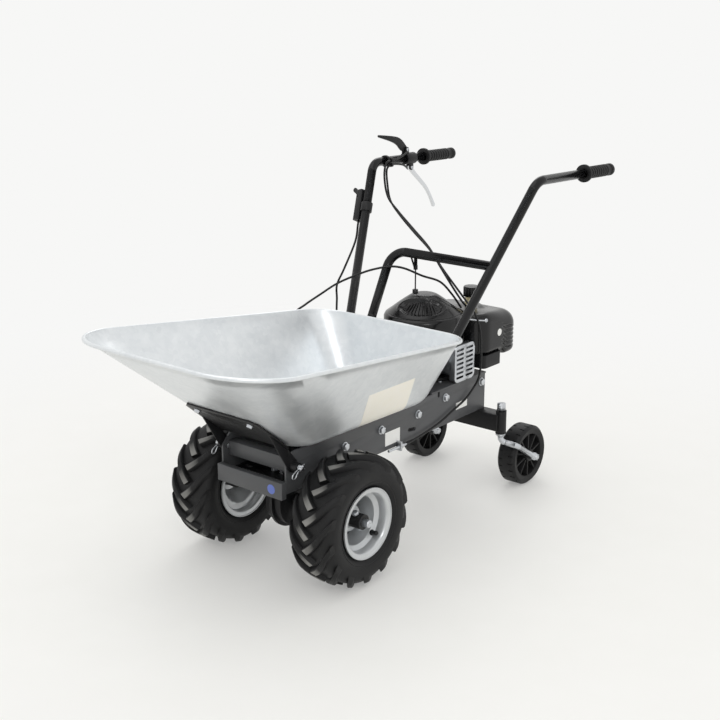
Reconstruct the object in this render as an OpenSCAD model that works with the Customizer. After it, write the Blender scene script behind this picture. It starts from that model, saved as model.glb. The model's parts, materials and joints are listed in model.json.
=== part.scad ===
// Petrol motor barrow: a galvanised tipping tray over two lugged drive wheels,
// a steel chassis, a vertical-shaft engine behind the tray, two rear castors and
// two handles. Millimetres, +Z up, +Y to the rear where the operator walks,
// +X to the machine's left. The origin is on the ground under the middle of the plan.

/* [Drive wheels] */
// Outside diameter of the drive tyres over the lugs
tyre_d = 330; // [300:5:360]
// Section width of the drive tyres
tyre_w = 127; // [110:1:135]
// Distance between the middle planes of the two drive wheels
wheel_track = 404; // [390:2:440]
// Diameter of the rim over its flanges
rim_flange_d = 178; // [165:1:185]
// Diameter of the bead seat of the rim
rim_seat_d = 152; // [146:1:156]
// Thickness of the rim sheet
rim_t = 2.5; // [2:0.5:4]
// Height of the tread lugs
lug_h = 13; // [8:1:16]
// Lugs on each half of the tread
lug_count = 14; // [10:1:18]
// Diameter of the drive axle
axle_d = 20; // [16:1:25]
// Outside diameter of the wheel hubs
hub_d = 38; // [34:1:46]

/* [Castors] */
// Diameter of the castor wheels
castor_d = 174; // [150:2:190]
// Width of the castor tyres
castor_w = 58; // [46:1:64]
// Distance between the two castor pivots
castor_track = 350; // [320:2:380]
// Distance from a castor's pivot back to its axle
castor_trail = 114; // [108:1:130]
// Diameter of the bent castor bar and of its spindle
castor_bar_d = 16; // [14:1:18]
// Outside diameter of the castor pivot posts
post_d = 30; // [28:1:36]
// Diameter of the castor wheel bolts
castor_bolt_d = 10; // [8:1:12]

/* [Chassis] */
// Width over the side plates
frame_w = 214; // [200:2:230]
// Thickness of the side plates, the deck and the cross plates
plate_t = 5; // [4:0.5:6]
// Height of the bottom edge of the side plates above the ground
frame_z = 238; // [234:1:246]
// Height of the side plates
plate_h = 102; // [98:1:108]
// Distance of the front ends of the side plates ahead of the axle
plate_front = 120; // [115:1:128]
// Distance of the rear ends of the side plates behind the axle
plate_rear = 712; // [706:1:724]
// Distance of the castor pivots behind the axle
castor_pivot = 697; // [692:1:702]
// Width and depth of the castor beam
beam_w = 44; // [40:1:50]
// Diameter of the tray hinge pins
hinge_pin_d = 12; // [10:1:14]

/* [Tray] */
// Distance of the front rim ahead of the axle
tray_front = 436; // [410:2:460]
// Distance of the rear rim behind the axle
tray_rear = 430; // [420:1:433]
// Width of the tray over its front corners
rim_front_w = 632; // [600:2:660]
// Width of the tray over its rear corners
rim_rear_w = 492; // [470:2:500]
// Height of the front rim above the ground
rim_front_z = 625; // [600:1:650]
// Height of the rear rim above the ground
rim_rear_z = 525; // [515:1:535]
// Distance of the front edge of the tray floor ahead of the axle
floor_front = 95; // [85:1:105]
// Distance of the rear edge of the tray floor behind the axle
floor_rear = 396; // [385:1:398]
// Width of the front of the tray floor
floor_front_w = 262; // [250:2:276]
// Width of the rear of the tray floor
floor_rear_w = 300; // [280:2:312]
// Thickness of the tray sheet
sheet_t = 2; // [1.5:0.5:3]
// Diameter of the rolled bead round the rim
bead_d = 10; // [8:1:14]
// Thickness of the cradle plate under the front wall
cradle_t = 4; // [3:0.5:5]

/* [Handles] */
// Diameter of the handle tubes
handle_d = 25; // [24:0.5:27]
// Wall of the handle tubes
handle_wall = 2; // [1.5:0.5:3]
// Distance of each grip from the middle of the machine
grip_x = 274; // [264:1:284]
// Height of the bend above the ground
bend_z = 904; // [890:1:920]
// Distance of the grip ends behind the axle
grip_end = 1063; // [1050:1:1090]
// Diameter of the rubber grips
grip_d = 34; // [31:1:38]
// Length of the rubber grips
grip_len = 147; // [125:1:150]

/* [Engine] */
// Radius of the blower housing
blower_r = 112; // [104:1:114]
// Height of the top of the starter dome above the ground
dome_top = 580; // [572:1:588]
// Diameter of the crankshaft
crank_d = 22; // [20:1:25]
// Outside diameter of the pulley on the crankshaft
drive_pulley_d = 64; // [56:1:76]
// Outside diameter of the pulley on the input shaft
driven_pulley_d = 112; // [100:1:120]
// Diameter of the worm shaft
worm_shaft_d = 16; // [14:1:18]

/* [Clearances] */
// Gap between pieces that move past each other
move_gap = 0.5; // [0.3:0.1:0.8]
// Radial gap of a shaft or pin in its bearing
run_gap = 0.06; // [0.03:0.01:0.1]
// Gap of a bolt or cover in its seat
seat_gap = 0.25; // [0.2:0.05:0.4]

/* [Hidden] */
$fn = 48;

// Colours as the finished machine shows them
black_paint = "#1d1f21";
black_plastic = "#17181a";
zinc = "#c9ccd0";
galvanised = "#c3c8cc";
silver_paint = "#b9bcc0";
rubber = "#2a2a2b";
bronze = "#a9803f";
aluminium = "#b4b7ba";
cream = "#e3d7ac";

// Places shared by several pieces, from the axle back and from the ground up
axle_z = tyre_d / 2;
plate_out = frame_w / 2;
plate_in = plate_out - plate_t;
frame_top = frame_z + plate_h;
deck_top = frame_top + plate_t;
flange_w = 20;
hinge_y = -100;
hinge_z = frame_top - 33;
plan_middle = (grip_end - tray_front - bead_d) / 2;
handle_y = 440;
foot_bolts = [[396, frame_z + 64], [520, frame_z + 79]];
plate_bolts = [[95, frame_z + 60], [240, frame_z + 63], [692, frame_z + 82]];
bolt_d = 10;
bolt_hole_d = bolt_d + 2 * seat_gap;
head_w = 17;
head_h = 6.5;
foot_t = 6;

// Moves a piece from the axle's frame to the part's own origin
module place() {
    translate([0, -plan_middle, 0]) children();
}

function unit(v) = v / norm(v);
function flat(v) = [v.x, v.y];

// Turns the Z axis to run from a towards b, with the origin at a
module along(a, b) {
    d = b - a;
    translate(a) rotate([0, acos(d.z / norm(d)), atan2(d.y, d.x)]) children();
}

module rod(a, b, d) {
    along(a, b) cylinder(d = d, h = norm(b - a));
}

// A disc, or a ring where there is a wall
module round_section(d, wall) {
    difference() {
        circle(d = d);
        if (wall > 0) circle(d = d - 2 * wall);
    }
}

// A round tube or bar along a path, with every corner bent to one radius.
// A bend stands a hair proud of the straight runs, which reach a little way into it.
module bent_tube(path, d, wall, bend_r) {
    swell = 0.04;
    reach = 0.6;
    last = len(path) - 1;
    dirs = [for (i = [0 : last - 1]) unit(path[i + 1] - path[i])];
    turns = [for (i = [0 : last]) i == 0 || i == last ? 0 : acos(dirs[i - 1] * dirs[i])];
    cuts = [for (turn = turns) turn == 0 ? 0 : bend_r * tan(turn / 2) - reach];
    for (i = [0 : last - 1]) {
        a = path[i] + dirs[i] * cuts[i];
        b = path[i + 1] - dirs[i] * cuts[i + 1];
        along(a, b) linear_extrude(norm(b - a)) round_section(d, wall);
    }
    for (i = [1 : last - 1]) {
        y = dirs[i - 1];
        x = -unit(dirs[i] - y * (y * dirs[i]));
        z = cross(x, y);
        c = path[i] - y * (cuts[i] + reach) - x * bend_r;
        multmatrix([
            [x.x, y.x, z.x, c.x], [x.y, y.y, z.y, c.y], [x.z, y.z, z.z, c.z], [0, 0, 0, 1]
        ]) rotate_extrude(angle = turns[i]) translate([bend_r, 0])
            round_section(d + 2 * swell, wall > 0 ? wall + 2 * swell : 0);
    }
}

// A smooth curve through a list of points
function curve_point(a, b, c, d, t) =
    0.5 * (2 * b + (c - a) * t + (2 * a - 5 * b + 4 * c - d) * t * t
        + (3 * b - a - 3 * c + d) * t * t * t);
function curve(p, steps) = concat(
    [for (i = [0 : len(p) - 2]) for (s = [0 : steps - 1])
        curve_point(p[max(i - 1, 0)], p[i], p[i + 1], p[min(i + 2, len(p) - 1)], s / steps)],
    [p[len(p) - 1]]);
function carry(n, t) = unit(n - t * (n * t));
function normals(tangents, n, i = 0) = i == len(tangents) ? [] :
    let (m = carry(n, tangents[i])) concat([m], normals(tangents, m, i + 1));

// A round cable swept along a smooth curve
module cable(route, d, steps = 3) {
    sides = 8;
    line = curve(route, steps);
    last = len(line) - 1;
    tangents = [for (i = [0 : last]) unit(line[min(i + 1, last)] - line[max(i - 1, 0)])];
    across = normals(tangents, [0.31, 0.52, 0.79]);
    points = [for (i = [0 : last]) for (k = [0 : sides - 1])
        line[i] + d / 2 * (across[i] * cos(360 * k / sides)
            + cross(tangents[i], across[i]) * sin(360 * k / sides))];
    polyhedron(points, concat(
        [for (k = [1 : sides - 2]) [0, k, k + 1]],
        [for (k = [1 : sides - 2]) [last * sides, last * sides + k + 1, last * sides + k]],
        [for (i = [0 : last - 1]) for (k = [0 : sides - 1])
            let (n = (k + 1) % sides, a = i * sides, b = a + sides) each [
                [a + k, b + k, b + n], [a + k, b + n, a + n]
            ]]
    ), convexity = 6);
}

// A rectangle with round corners, built from squares and discs
module round_rect(w, h, r) {
    square([w - 2 * r, h], center = true);
    square([w, h - 2 * r], center = true);
    for (x = [-1, 1], y = [-1, 1])
        translate([x * (w / 2 - r), y * (h / 2 - r)]) circle(r = r);
}

module slot_shape(length, width) {
    square([length - width, width], center = true);
    for (side = [-1, 1]) translate([side * (length - width) / 2, 0]) circle(d = width);
}

// A hexagon-head bolt with its washer, the head above the origin and the shank below
module bolt(d, shank, head = head_w, height = head_h) {
    washer_t = 2;
    cylinder(d = head * 1.35, h = washer_t);
    translate([0, 0, washer_t]) cylinder(d = head / cos(30), h = height, $fn = 6);
    translate([0, 0, -shank]) cylinder(d = d, h = shank + washer_t);
}

module nut(d, head = head_w, height = 8) {
    difference() {
        cylinder(d = head / cos(30), h = height, $fn = 6);
        translate([0, 0, -1]) cylinder(d = d + 2 * seat_gap, h = height + 2);
    }
}

// A plate standing fore and aft: its drawing in Y and Z, thickness t from x towards +X
module side_sheet(x, t) {
    translate([x, 0, 0]) rotate([90, 0, 90]) linear_extrude(t) children();
}

// Side plates: folded steel with a bottom flange turned inwards
module side_plate(side) {
    chamfer = 26;
    notch_w = 9;
    notch_h = 16;
    notch_y = 490;
    slot_place = [371, frame_z + 28];
    mirror([side < 0 ? 1 : 0, 0, 0]) difference() {
        union() {
            side_sheet(plate_in, plate_t) polygon([
                [-plate_front, frame_z], [plate_rear, frame_z],
                [plate_rear, frame_top], [-plate_front + chamfer, frame_top],
                [-plate_front, frame_top - chamfer]
            ]);
            translate([plate_in - flange_w, -plate_front + chamfer, frame_z])
                cube([flange_w + plate_t / 2, plate_rear + plate_front - 2 * chamfer, plate_t]);
        }
        side_sheet(plate_in - 1, plate_t + 2) {
            for (p = concat(plate_bolts, foot_bolts)) translate(p) circle(d = bolt_hole_d);
            translate([hinge_y, hinge_z]) circle(d = hinge_pin_d + 2 * run_gap);
            translate(slot_place) rotate(-8) slot_shape(34, 10);
            translate([notch_y, frame_top]) rotate(90) slot_shape(2 * notch_h, notch_w);
        }
    }
}

module side_plate_left() {
    color(black_paint) place() side_plate(1);
}

module side_plate_right() {
    color(black_paint) place() side_plate(-1);
}

// Front cross plate: a folded plate between the side plates over the recess
front_plate_h = 37;
module front_cross_plate() {
    top = hinge_z + 14;
    depth = 30;
    color(black_paint) place()
        translate([-plate_in, 0, 0]) rotate([90, 0, 90]) linear_extrude(2 * plate_in) polygon([
            [hinge_y, top - front_plate_h], [hinge_y + plate_t, top - front_plate_h],
            [hinge_y + plate_t, top - plate_t], [hinge_y + depth, top - plate_t],
            [hinge_y + depth, top], [hinge_y, top]
        ]);
}

// Front bar: a channel welded across the front ends of the side plates
module front_bar() {
    bar_h = 43;
    bar_depth = 16;
    wall = 4;
    low = frame_z - 11;
    front = -plate_front - bar_depth;
    color(black_paint) place() translate([-plate_out, 0, 0]) {
        rotate([90, 0, 90]) linear_extrude(2 * plate_out) difference() {
            translate([front, low]) square([bar_depth, bar_h]);
            translate([front + wall, low + wall]) square([bar_depth, bar_h - 2 * wall]);
        }
        for (x = [0, 2 * plate_out - wall])
            translate([x, front, low]) cube([wall, bar_depth, bar_h]);
    }
}

// Gearbox plate: rests on the side plates' flanges and carries the gear case
case_mid = 8;
worm_y = 62;
gearbox_plate_z = frame_z + plate_t;
module gearbox_plate() {
    front = -78;
    rear = 140;
    color(black_paint) place() difference() {
        translate([-plate_in, front, gearbox_plate_z])
            cube([2 * plate_in, rear - front, plate_t]);
        translate([case_mid, worm_y, gearbox_plate_z - 1])
            cylinder(d = worm_shaft_d + 14, h = plate_t + 2);
        for (p = case_top_bolts) translate([p.x, p.y, gearbox_plate_z - 1])
            cylinder(d = case_bolt_d + 2 * seat_gap, h = plate_t + 2);
        axle_side_cut();
    }
}

module axle_side_cut() {
    for (side = [-1, 1]) translate([side * (plate_in - 26), -60, gearbox_plate_z - 1])
        linear_extrude(plate_t + 2) slot_shape(24, 14);
}

// Engine deck: a plate on top of the side plates, with a folded rear lip
crank_x = -20;
crank_y = 590;
deck_front = 458;
deck_rear = plate_rear + 4;
engine_bolt_r = 80;
module engine_deck() {
    lip_h = 34;
    lip_front = 606;
    crank_hole_d = 2 * (crank_d + 6);
    color(black_paint) place() difference() {
        union() {
            translate([-plate_out, deck_front, frame_top])
                cube([2 * plate_out, deck_rear - deck_front, plate_t]);
            for (side = [0, 1]) mirror([side, 0, 0])
                translate([plate_in - plate_t, lip_front, frame_top - lip_h])
                    cube([plate_t, plate_rear - lip_front, lip_h + plate_t / 2]);
            translate([idler_pivot.x, idler_pivot.y, 0]) idler_pin();
        }
        translate([crank_x, crank_y, frame_top - 1]) cylinder(d = crank_hole_d, h = plate_t + 2);
        for (a = [45 : 90 : 315]) translate(engine_bolt_place(a) + [0, 0, frame_top - 1])
            cylinder(d = case_bolt_d + 2 * seat_gap, h = plate_t + 2);
        for (side = [0, 1]) mirror([side, 0, 0]) side_sheet(plate_in - plate_t - 1, plate_t + 2)
            translate(plate_bolts[2]) circle(d = bolt_hole_d);
    }
}

// The idler's pin under the deck, with a collar above the arm and a head below it
module idler_pin() {
    head_t = 4;
    collar_low = idler_low + idler_t + move_gap;
    translate([0, 0, idler_low - move_gap - head_t]) {
        cylinder(d = idler_pin_d + 6, h = head_t);
        cylinder(d = idler_pin_d, h = frame_top + 1 - idler_low + move_gap + head_t);
    }
    translate([0, 0, collar_low]) cylinder(d = idler_pin_d + 6, h = frame_top + 1 - collar_low);
}

function engine_bolt_place(a) =
    [crank_x + engine_bolt_r * cos(a), crank_y + engine_bolt_r * sin(a), 0];

// Castor beam: a box tube under the side plates with a pivot post at each end
beam_h = 48;
post_low = frame_z - 54;
post_high = frame_z + 7;
bush_wall = 3;
bush_flange_t = 3;
module castor_beam() {
    beam_wall = 4;
    bore = castor_bar_d + 2 * bush_wall + 2 * run_gap;
    color(black_paint) place() translate([0, castor_pivot, 0]) difference() {
        union() {
            translate([-castor_track / 2, -beam_w / 2, frame_z - beam_h])
                cube([castor_track, beam_w, beam_h]);
            for (side = [-1, 1]) translate([side * castor_track / 2, 0, post_low])
                cylinder(d = post_d, h = post_high - post_low);
        }
        translate([-castor_track / 2 + post_d, -beam_w / 2 + beam_wall, frame_z - beam_h + beam_wall])
            cube([castor_track - 2 * post_d, beam_w - 2 * beam_wall, beam_h - 2 * beam_wall]);
        for (side = [-1, 1]) translate([side * castor_track / 2, 0, post_low - 1])
            cylinder(d = bore, h = post_high - post_low + 2);
    }
}

// Plain moulded bushes: one at each end of the axle's case bores, two in each castor post
case_half_w = 24;
axle_bush_len = 22;
module bushes() {
    castor_bush_len = 28;
    color(black_plastic) place() {
        for (side = [-1, 1]) translate([case_mid + side * (case_half_w - 4), 0, axle_z])
            rotate([0, side * 90, 0]) difference() {
                cylinder(d = axle_d + 2 * bush_wall, h = axle_bush_len);
                translate([0, 0, -1]) cylinder(d = axle_d + 2 * run_gap, h = axle_bush_len + 2);
            }
        for (side = [-1, 1], end = [0, 1])
            translate([side * castor_track / 2, castor_pivot, end ? post_high : post_low])
                mirror([0, 0, end]) difference() {
                    union() {
                        cylinder(d = castor_bar_d + 2 * bush_wall, h = castor_bush_len);
                        translate([0, 0, -bush_flange_t]) cylinder(d = post_d, h = bush_flange_t);
                    }
                    translate([0, 0, -bush_flange_t - 1])
                        cylinder(d = castor_bar_d + 2 * run_gap, h = castor_bush_len + bush_flange_t + 2);
                }
    }
}

// Bolts of the chassis: side plates, handle feet, deck lip, engine base and gear case
case_bolt_d = 8;
case_bolt_in = 10;
case_top_bolts = [
    for (x = [-1, 1], y = [-40, worm_y + 22]) [case_mid + x * (case_half_w - case_bolt_in), y]
];
module chassis_bolts() {
    grip_short = plate_t + 9;
    grip_foot = plate_t + foot_t + 9;
    grip_deck = 2 * plate_t + 9;
    color(zinc) place() {
        for (side = [0, 1]) mirror([side, 0, 0]) {
            for (i = [0 : 1]) side_bolt(plate_bolts[i], grip_short, plate_t);
            side_bolt(plate_bolts[2], grip_deck, 2 * plate_t);
            for (p = foot_bolts) side_bolt(p, grip_foot, plate_t + foot_t);
        }
        for (a = [45 : 90 : 315]) translate(engine_bolt_place(a) + [0, 0, deck_top + 10])
            bolt(case_bolt_d, 10 + plate_t + 4, 13, 5);
        for (p = case_top_bolts) translate([p.x, p.y, gearbox_plate_z + plate_t])
            bolt(case_bolt_d, plate_t + 9, 13, 5);
    }
}

module side_bolt(p, shank, stack) {
    translate([plate_out, p.x, p.y]) rotate([0, 90, 0]) bolt(bolt_d, shank);
    translate([plate_out - stack - 8, p.x, p.y]) rotate([0, 90, 0]) nut(bolt_d);
}

// Hinge pins: stub pins welded into the side plates, drilled for the clips
hinge_pin_end = plate_out + 35;
clip_x = plate_out + 27;
clip_wire = 2.6;
clip_turn = 109;
module hinge_pins() {
    color(zinc) place() for (side = [0, 1]) mirror([side, 0, 0]) difference() {
        translate([plate_in, hinge_y, hinge_z]) rotate([0, 90, 0])
            cylinder(d = hinge_pin_d, h = hinge_pin_end - plate_in);
        translate([clip_x, hinge_y, hinge_z]) rotate([clip_turn, 0, 0])
            translate([0, 0, -hinge_pin_d])
                cylinder(d = clip_wire + 2 * seat_gap, h = 2 * hinge_pin_d);
    }
}

// Spring clips: bent wire with one straight leg through the pin and one round it
module r_clips() {
    leg = 17;
    hug = hinge_pin_d / 2 + clip_wire / 2 + 0.4;
    color(zinc) place() for (side = [0, 1]) mirror([side, 0, 0])
        translate([clip_x, hinge_y, hinge_z]) rotate([clip_turn, 0, 0]) cable([
            [0, 0, -hug - 8], [0, 0, 0], [0, 0, leg], [0, -3, leg + 12], [0, -11, leg + 15],
            [0, -15, leg + 7], [0, -8, leg - 3], [0, -hug * 0.7, hug * 1.1],
            [0, -hug - 0.8, 0], [0, -hug, -7], [0, -hug - 4, -13]
        ], clip_wire);
}

// Handles: bent tubes from a foot plate inside the frame up to the grips
handle_bend_r = 45;
grip_end_t = 5;
foot_low = frame_z + 44;
function handle_path() = let (foot_x = plate_in - foot_t - handle_d / 2 + 1) [
    [foot_x, handle_y, foot_low],
    [foot_x, handle_y, frame_top + 12],
    handle_knee,
    handle_corner,
    top_at(grip_end) - top_dir * grip_end_t
];
handle_knee = [168, 436, frame_top + 130];
handle_corner = [grip_x, 679, bend_z];
grip_z = bend_z - 12;
lean = unit(handle_corner - handle_knee);
top_dir = unit([0, grip_end - handle_corner.y, grip_z - bend_z]);

// The point of the left tube's sloping run at a height
function lean_at(z) = handle_knee + lean * (z - handle_knee.z) / lean.z;
// The point of the left tube's top run at a distance behind the axle
function top_at(y) = handle_corner + top_dir * (y - handle_corner.y) / top_dir.y;

module handle() {
    foot_front = 376;
    foot_len = 164;
    foot_h = 56;
    bent_tube(handle_path(), handle_d, handle_wall, handle_bend_r);
    difference() {
        translate([plate_in - foot_t, foot_front, foot_low]) cube([foot_t, foot_len, foot_h]);
        side_sheet(plate_in - foot_t - 1, foot_t + 2)
            for (p = foot_bolts) translate(p) circle(d = bolt_hole_d);
        rod(handle_path()[0] - [0, 0, 1], handle_path()[1], handle_d - 2 * handle_wall);
    }
}

module handle_left() {
    color(black_paint) place() handle();
}

module handle_right() {
    color(black_paint) place() mirror([1, 0, 0]) handle();
}

// Brace: one tube from the deck up and across to the left handle, with a guide for the rope
brace_z = 690;
brace_y = lean_at(brace_z).y;
guide_z = brace_z - 50;
guide_h = 12;
guide_d = 12;
module handle_brace() {
    brace_x = -110;
    brace_bend_r = 48;
    foot_plate = 4;
    foot = [-92, 476, deck_top];
    color(black_paint) place() difference() {
        union() {
            bent_tube([
                foot + [0, 0, foot_plate], [-106, 461, deck_top + 167],
                [brace_x, brace_y, brace_z], [lean_at(brace_z).x, brace_y, brace_z]
            ], handle_d, handle_wall, brace_bend_r);
            translate(foot) cylinder(d = handle_d + 8, h = foot_plate);
            rod(rope_at(brace_z - 11) + [0, brace_y + 4 - rope_place.y, 0],
                rope_at(guide_z + guide_h / 2) - [0, guide_d / 2 - 1, 0], 5);
            translate(rope_at(guide_z)) cylinder(d = guide_d, h = guide_h);
        }
        rod(lean_at(brace_z - 60), lean_at(brace_z + 60), handle_d);
        translate(rope_at(guide_z - 1)) cylinder(d = rope_d + 1.4, h = guide_h + 2);
    }
}

// Grips: moulded rubber with a flange, finger ribs and a closed end
module grips() {
    flange_d = grip_d + 15;
    flange_t = 8;
    rib_pitch = 12;
    ribs = floor((grip_len - flange_t - 24) / rib_pitch);
    color(rubber) place() for (side = [0, 1]) mirror([side, 0, 0])
        along(top_at(grip_end) - top_dir * grip_len, top_at(grip_end)) difference() {
            union() {
                cylinder(d = grip_d - 3, h = grip_len);
                cylinder(d = flange_d, h = flange_t);
                for (i = [0 : ribs - 1]) translate([0, 0, flange_t + 6 + i * rib_pitch])
                    cylinder(d = grip_d, h = rib_pitch * 0.6);
                translate([0, 0, grip_len - 12]) cylinder(d = grip_d, h = 12);
            }
            translate([0, 0, -1]) cylinder(d = handle_d + 0.1, h = grip_len - grip_end_t + 1);
        }
}

// Lever perch: a clamp round the right handle with a fork for each lever
perch_y = 846;
perch = top_at(perch_y);
clutch_pivot = [-grip_x, perch.y + 6, perch.z - 27];
stop_pivot = [-grip_x, perch.y - 16, perch.z + 27];
lever_pin_d = 6;
lever_t = 6;
module lever_perch() {
    clamp_len = 44;
    clamp_d = handle_d + 9;
    cheek_t = 4;
    slit = lever_t + 2 * move_gap;
    color(black_plastic) place() {
        difference() {
            union() {
                mirror([1, 0, 0]) along(perch - top_dir * clamp_len / 2, perch + top_dir * clamp_len / 2)
                    cylinder(d = clamp_d, h = clamp_len);
                for (side = [-1, 1]) side_sheet(-grip_x + (side < 0 ? -slit / 2 - cheek_t : slit / 2), cheek_t) {
                    perch_cheek(clutch_pivot, -1);
                    perch_cheek(stop_pivot, 1);
                }
            }
            mirror([1, 0, 0]) along(perch - top_dir * clamp_len, perch + top_dir * clamp_len)
                cylinder(d = handle_d + 0.1, h = 2 * clamp_len);
            for (p = [clutch_pivot, stop_pivot]) translate(p - [10, 0, 0]) rotate([0, 90, 0])
                cylinder(d = lever_pin_d + 2 * run_gap, h = 20);
        }
        for (p = [clutch_pivot, stop_pivot]) translate(p - [slit / 2 + cheek_t, 0, 0])
            rotate([0, 90, 0]) cylinder(d = lever_pin_d, h = slit + 2 * cheek_t);
        mirror([1, 0, 0]) cable_clamp();
    }
}

// A ring round the handle with an eye for each of the two lever cables
module cable_clamp() {
    clamp_w = 8;
    mid = top_at(735);
    eye_x = 252;
    along(mid - top_dir * clamp_w / 2, mid + top_dir * clamp_w / 2) difference() {
        cylinder(d = handle_d + 8, h = clamp_w);
        translate([0, 0, -1]) cylinder(d = handle_d + 0.1, h = clamp_w + 2);
    }
    for (z = [893, 907]) translate([eye_x, 735 - clamp_w / 2, z]) rotate([-90, 0, 0]) difference() {
        union() {
            cylinder(d = cable_d + 6, h = clamp_w);
            translate([0, -3, 0]) cube([grip_x - eye_x - handle_d / 2 - 0.5, 6, clamp_w]);
        }
        translate([0, 0, -1]) cylinder(d = cable_d + 1.4, h = clamp_w + 2);
    }
}

// One side of a lever's fork: a round eye with a neck back to the clamp
module perch_cheek(pivot, up) {
    eye_r = 8;
    translate([pivot.y, pivot.z]) circle(r = eye_r);
    translate([pivot.y - eye_r, up > 0 ? perch.z + 8 : pivot.z])
        square([2 * eye_r, abs(pivot.z - perch.z) - 8]);
}

// Clutch lever: a cast blade hanging under the right grip
module clutch_lever() {
    color(aluminium) place() lever(clutch_pivot, [
        [0, 0], [18, -18], [46, -41], [78, -68], [102, -98], [120, -128]
    ], [16, 13, 12, 11, 10, 12]);
}

// Stop lever: a thick bent blade over the right handle
module stop_lever() {
    color(black_plastic) place() lever(stop_pivot, [
        [0, 0], [-16, 10], [-37, 27], [-70, 38], [-125, 50]
    ], [16, 24, 22, 16, 7]);
}

// The outline of a blade along a line of points, with its width at each and round ends
function blade_outline(p, w) = let (
    last = len(p) - 1,
    arc = 8,
    ahead = [for (i = [0 : last]) unit(p[min(i + 1, last)] - p[max(i - 1, 0)])],
    aside = [for (d = ahead) [-d.y, d.x]]
) concat(
    [for (i = [0 : last]) p[i] + aside[i] * w[i] / 2],
    [for (k = [1 : arc - 1]) let (a = 180 * k / arc)
        p[last] + (aside[last] * cos(a) + ahead[last] * sin(a)) * w[last] / 2],
    [for (i = [last : -1 : 0]) p[i] - aside[i] * w[i] / 2],
    [for (k = [1 : arc - 1]) let (a = 180 * k / arc)
        p[0] - (aside[0] * cos(a) + ahead[0] * sin(a)) * w[0] / 2]
);

// A flat lever: a curved blade with the pin's hole at its first point
module lever(pivot, spine, widths) {
    steps = 3;
    side_sheet(-grip_x - lever_t / 2, lever_t) translate([pivot.y, pivot.z]) difference() {
        polygon(blade_outline(curve(spine, steps), curve(widths, steps)));
        circle(d = lever_pin_d + 2 * run_gap);
    }
}

// A straight band between two points, with its own width at each
module taper(a, b, width_a, width_b) {
    d = unit(b - a);
    n = [-d.y, d.x] / 2;
    polygon([a + n * width_a, b + n * width_b, b - n * width_b, a - n * width_a]);
}

// Throttle box: a moulded box strapped to the outer side of the right handle
box_mid = lean_at(795);
box_len = 90;
box_off = 27;
box_t = 24;
box_w = 30;
box_turn = -55;
module on_throttle() {
    mirror([1, 0, 0]) along(box_mid - lean * box_len / 2, box_mid + lean * box_len / 2)
        rotate([0, 0, box_turn]) children();
}

throttle_pin_d = 5;
throttle_pivot = [box_off + 3, 0, box_len - 20];
module throttle_box() {
    strap_low = 22;
    strap_len = 26;
    slot_w = 7;
    slot_drop = 12;
    cable_seat = 13;
    color(black_plastic) place() on_throttle() difference() {
        union() {
            translate([box_off, 0, 0]) linear_extrude(box_len) round_rect(box_t, box_w, 6);
            translate([0, 0, strap_low]) cylinder(d = handle_d + 8, h = strap_len);
        }
        translate([0, 0, -1]) cylinder(d = handle_d + 0.1, h = box_len + 2);
        translate([throttle_pivot.x - slot_w - 1, -slot_w / 2, throttle_pivot.z - slot_drop])
            cube([box_t, slot_w, box_len]);
        translate([throttle_pivot.x, -box_w, throttle_pivot.z]) rotate([-90, 0, 0])
            cylinder(d = throttle_pin_d + 2 * run_gap, h = 2 * box_w);
        translate([box_off, 0, -1]) cylinder(d = cable_d + 2 * seat_gap, h = cable_seat + 1);
    }
}

// Throttle lever: a thumb paddle on a cross pin in the box
module throttle_lever() {
    paddle_t = 6;
    paddle_r = 7;
    paddle_len = 30;
    paddle_turn = 42;
    pin_len = 24;
    color(black_plastic) place() on_throttle() translate(throttle_pivot) {
        rotate([90, 0, 0]) translate([0, 0, -paddle_t / 2]) linear_extrude(paddle_t) {
            circle(r = paddle_r);
            rotate(paddle_turn) {
                translate([0, -5]) square([paddle_len, 10]);
                translate([paddle_len, 0]) circle(r = paddle_r);
            }
        }
        translate([0, -pin_len / 2, 0]) rotate([-90, 0, 0]) cylinder(d = throttle_pin_d, h = pin_len);
    }
}

// Gear case: two flanged halves round the worm and the worm wheel
case_r = 62;
case_wall = 4;
worm_side = 34;
worm_low = 50;
module case_outline(grow) {
    length = case_r + worm_y + worm_side + 2 * grow;
    circle(r = case_r + grow);
    translate([-case_r - grow, 0]) square([length, case_top + min(grow, 0)]);
    translate([0, -worm_low - grow]) square([worm_y + worm_side + grow, worm_low + 2 * grow + 10]);
}

case_top = gearbox_plate_z - axle_z;
module case_half(side) {
    flange = 9;
    flange_t = 4;
    boss_d = axle_d + 2 * bush_wall + 10;
    mirror([side < 0 ? 1 : 0, 0, 0]) translate([side * case_mid, 0, axle_z]) difference() {
        union() {
            rotate([90, 0, 90]) linear_extrude(case_half_w) case_outline(0);
            rotate([90, 0, 90]) linear_extrude(flange_t) case_outline(flange);
            rotate([0, 90, 0]) cylinder(d = boss_d, h = case_half_w + axle_bush_len - 6);
        }
        translate([-1, 0, 0]) rotate([90, 0, 90])
            linear_extrude(case_half_w - case_wall + 1) case_outline(-case_wall - 4);
        translate([0, -case_r * 2, case_top]) cube([case_half_w, case_r * 5, 40]);
        translate([-1, 0, 0]) rotate([0, 90, 0])
            cylinder(d = axle_d + 2 * bush_wall + 2 * run_gap, h = case_half_w + axle_bush_len);
        translate([0, worm_y, case_wall - worm_low])
            cylinder(d = worm_shaft_d + 2 * run_gap, h = case_top + worm_low + 10);
        for (p = case_top_bolts) translate([side * (p.x - case_mid), p.y, case_top - 20])
            cylinder(d = case_bolt_d + 2 * seat_gap, h = 30);
    }
}

module case_left() {
    color(black_paint) place() case_half(1);
}

module case_right() {
    color(black_paint) place() case_half(-1);
}

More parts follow.
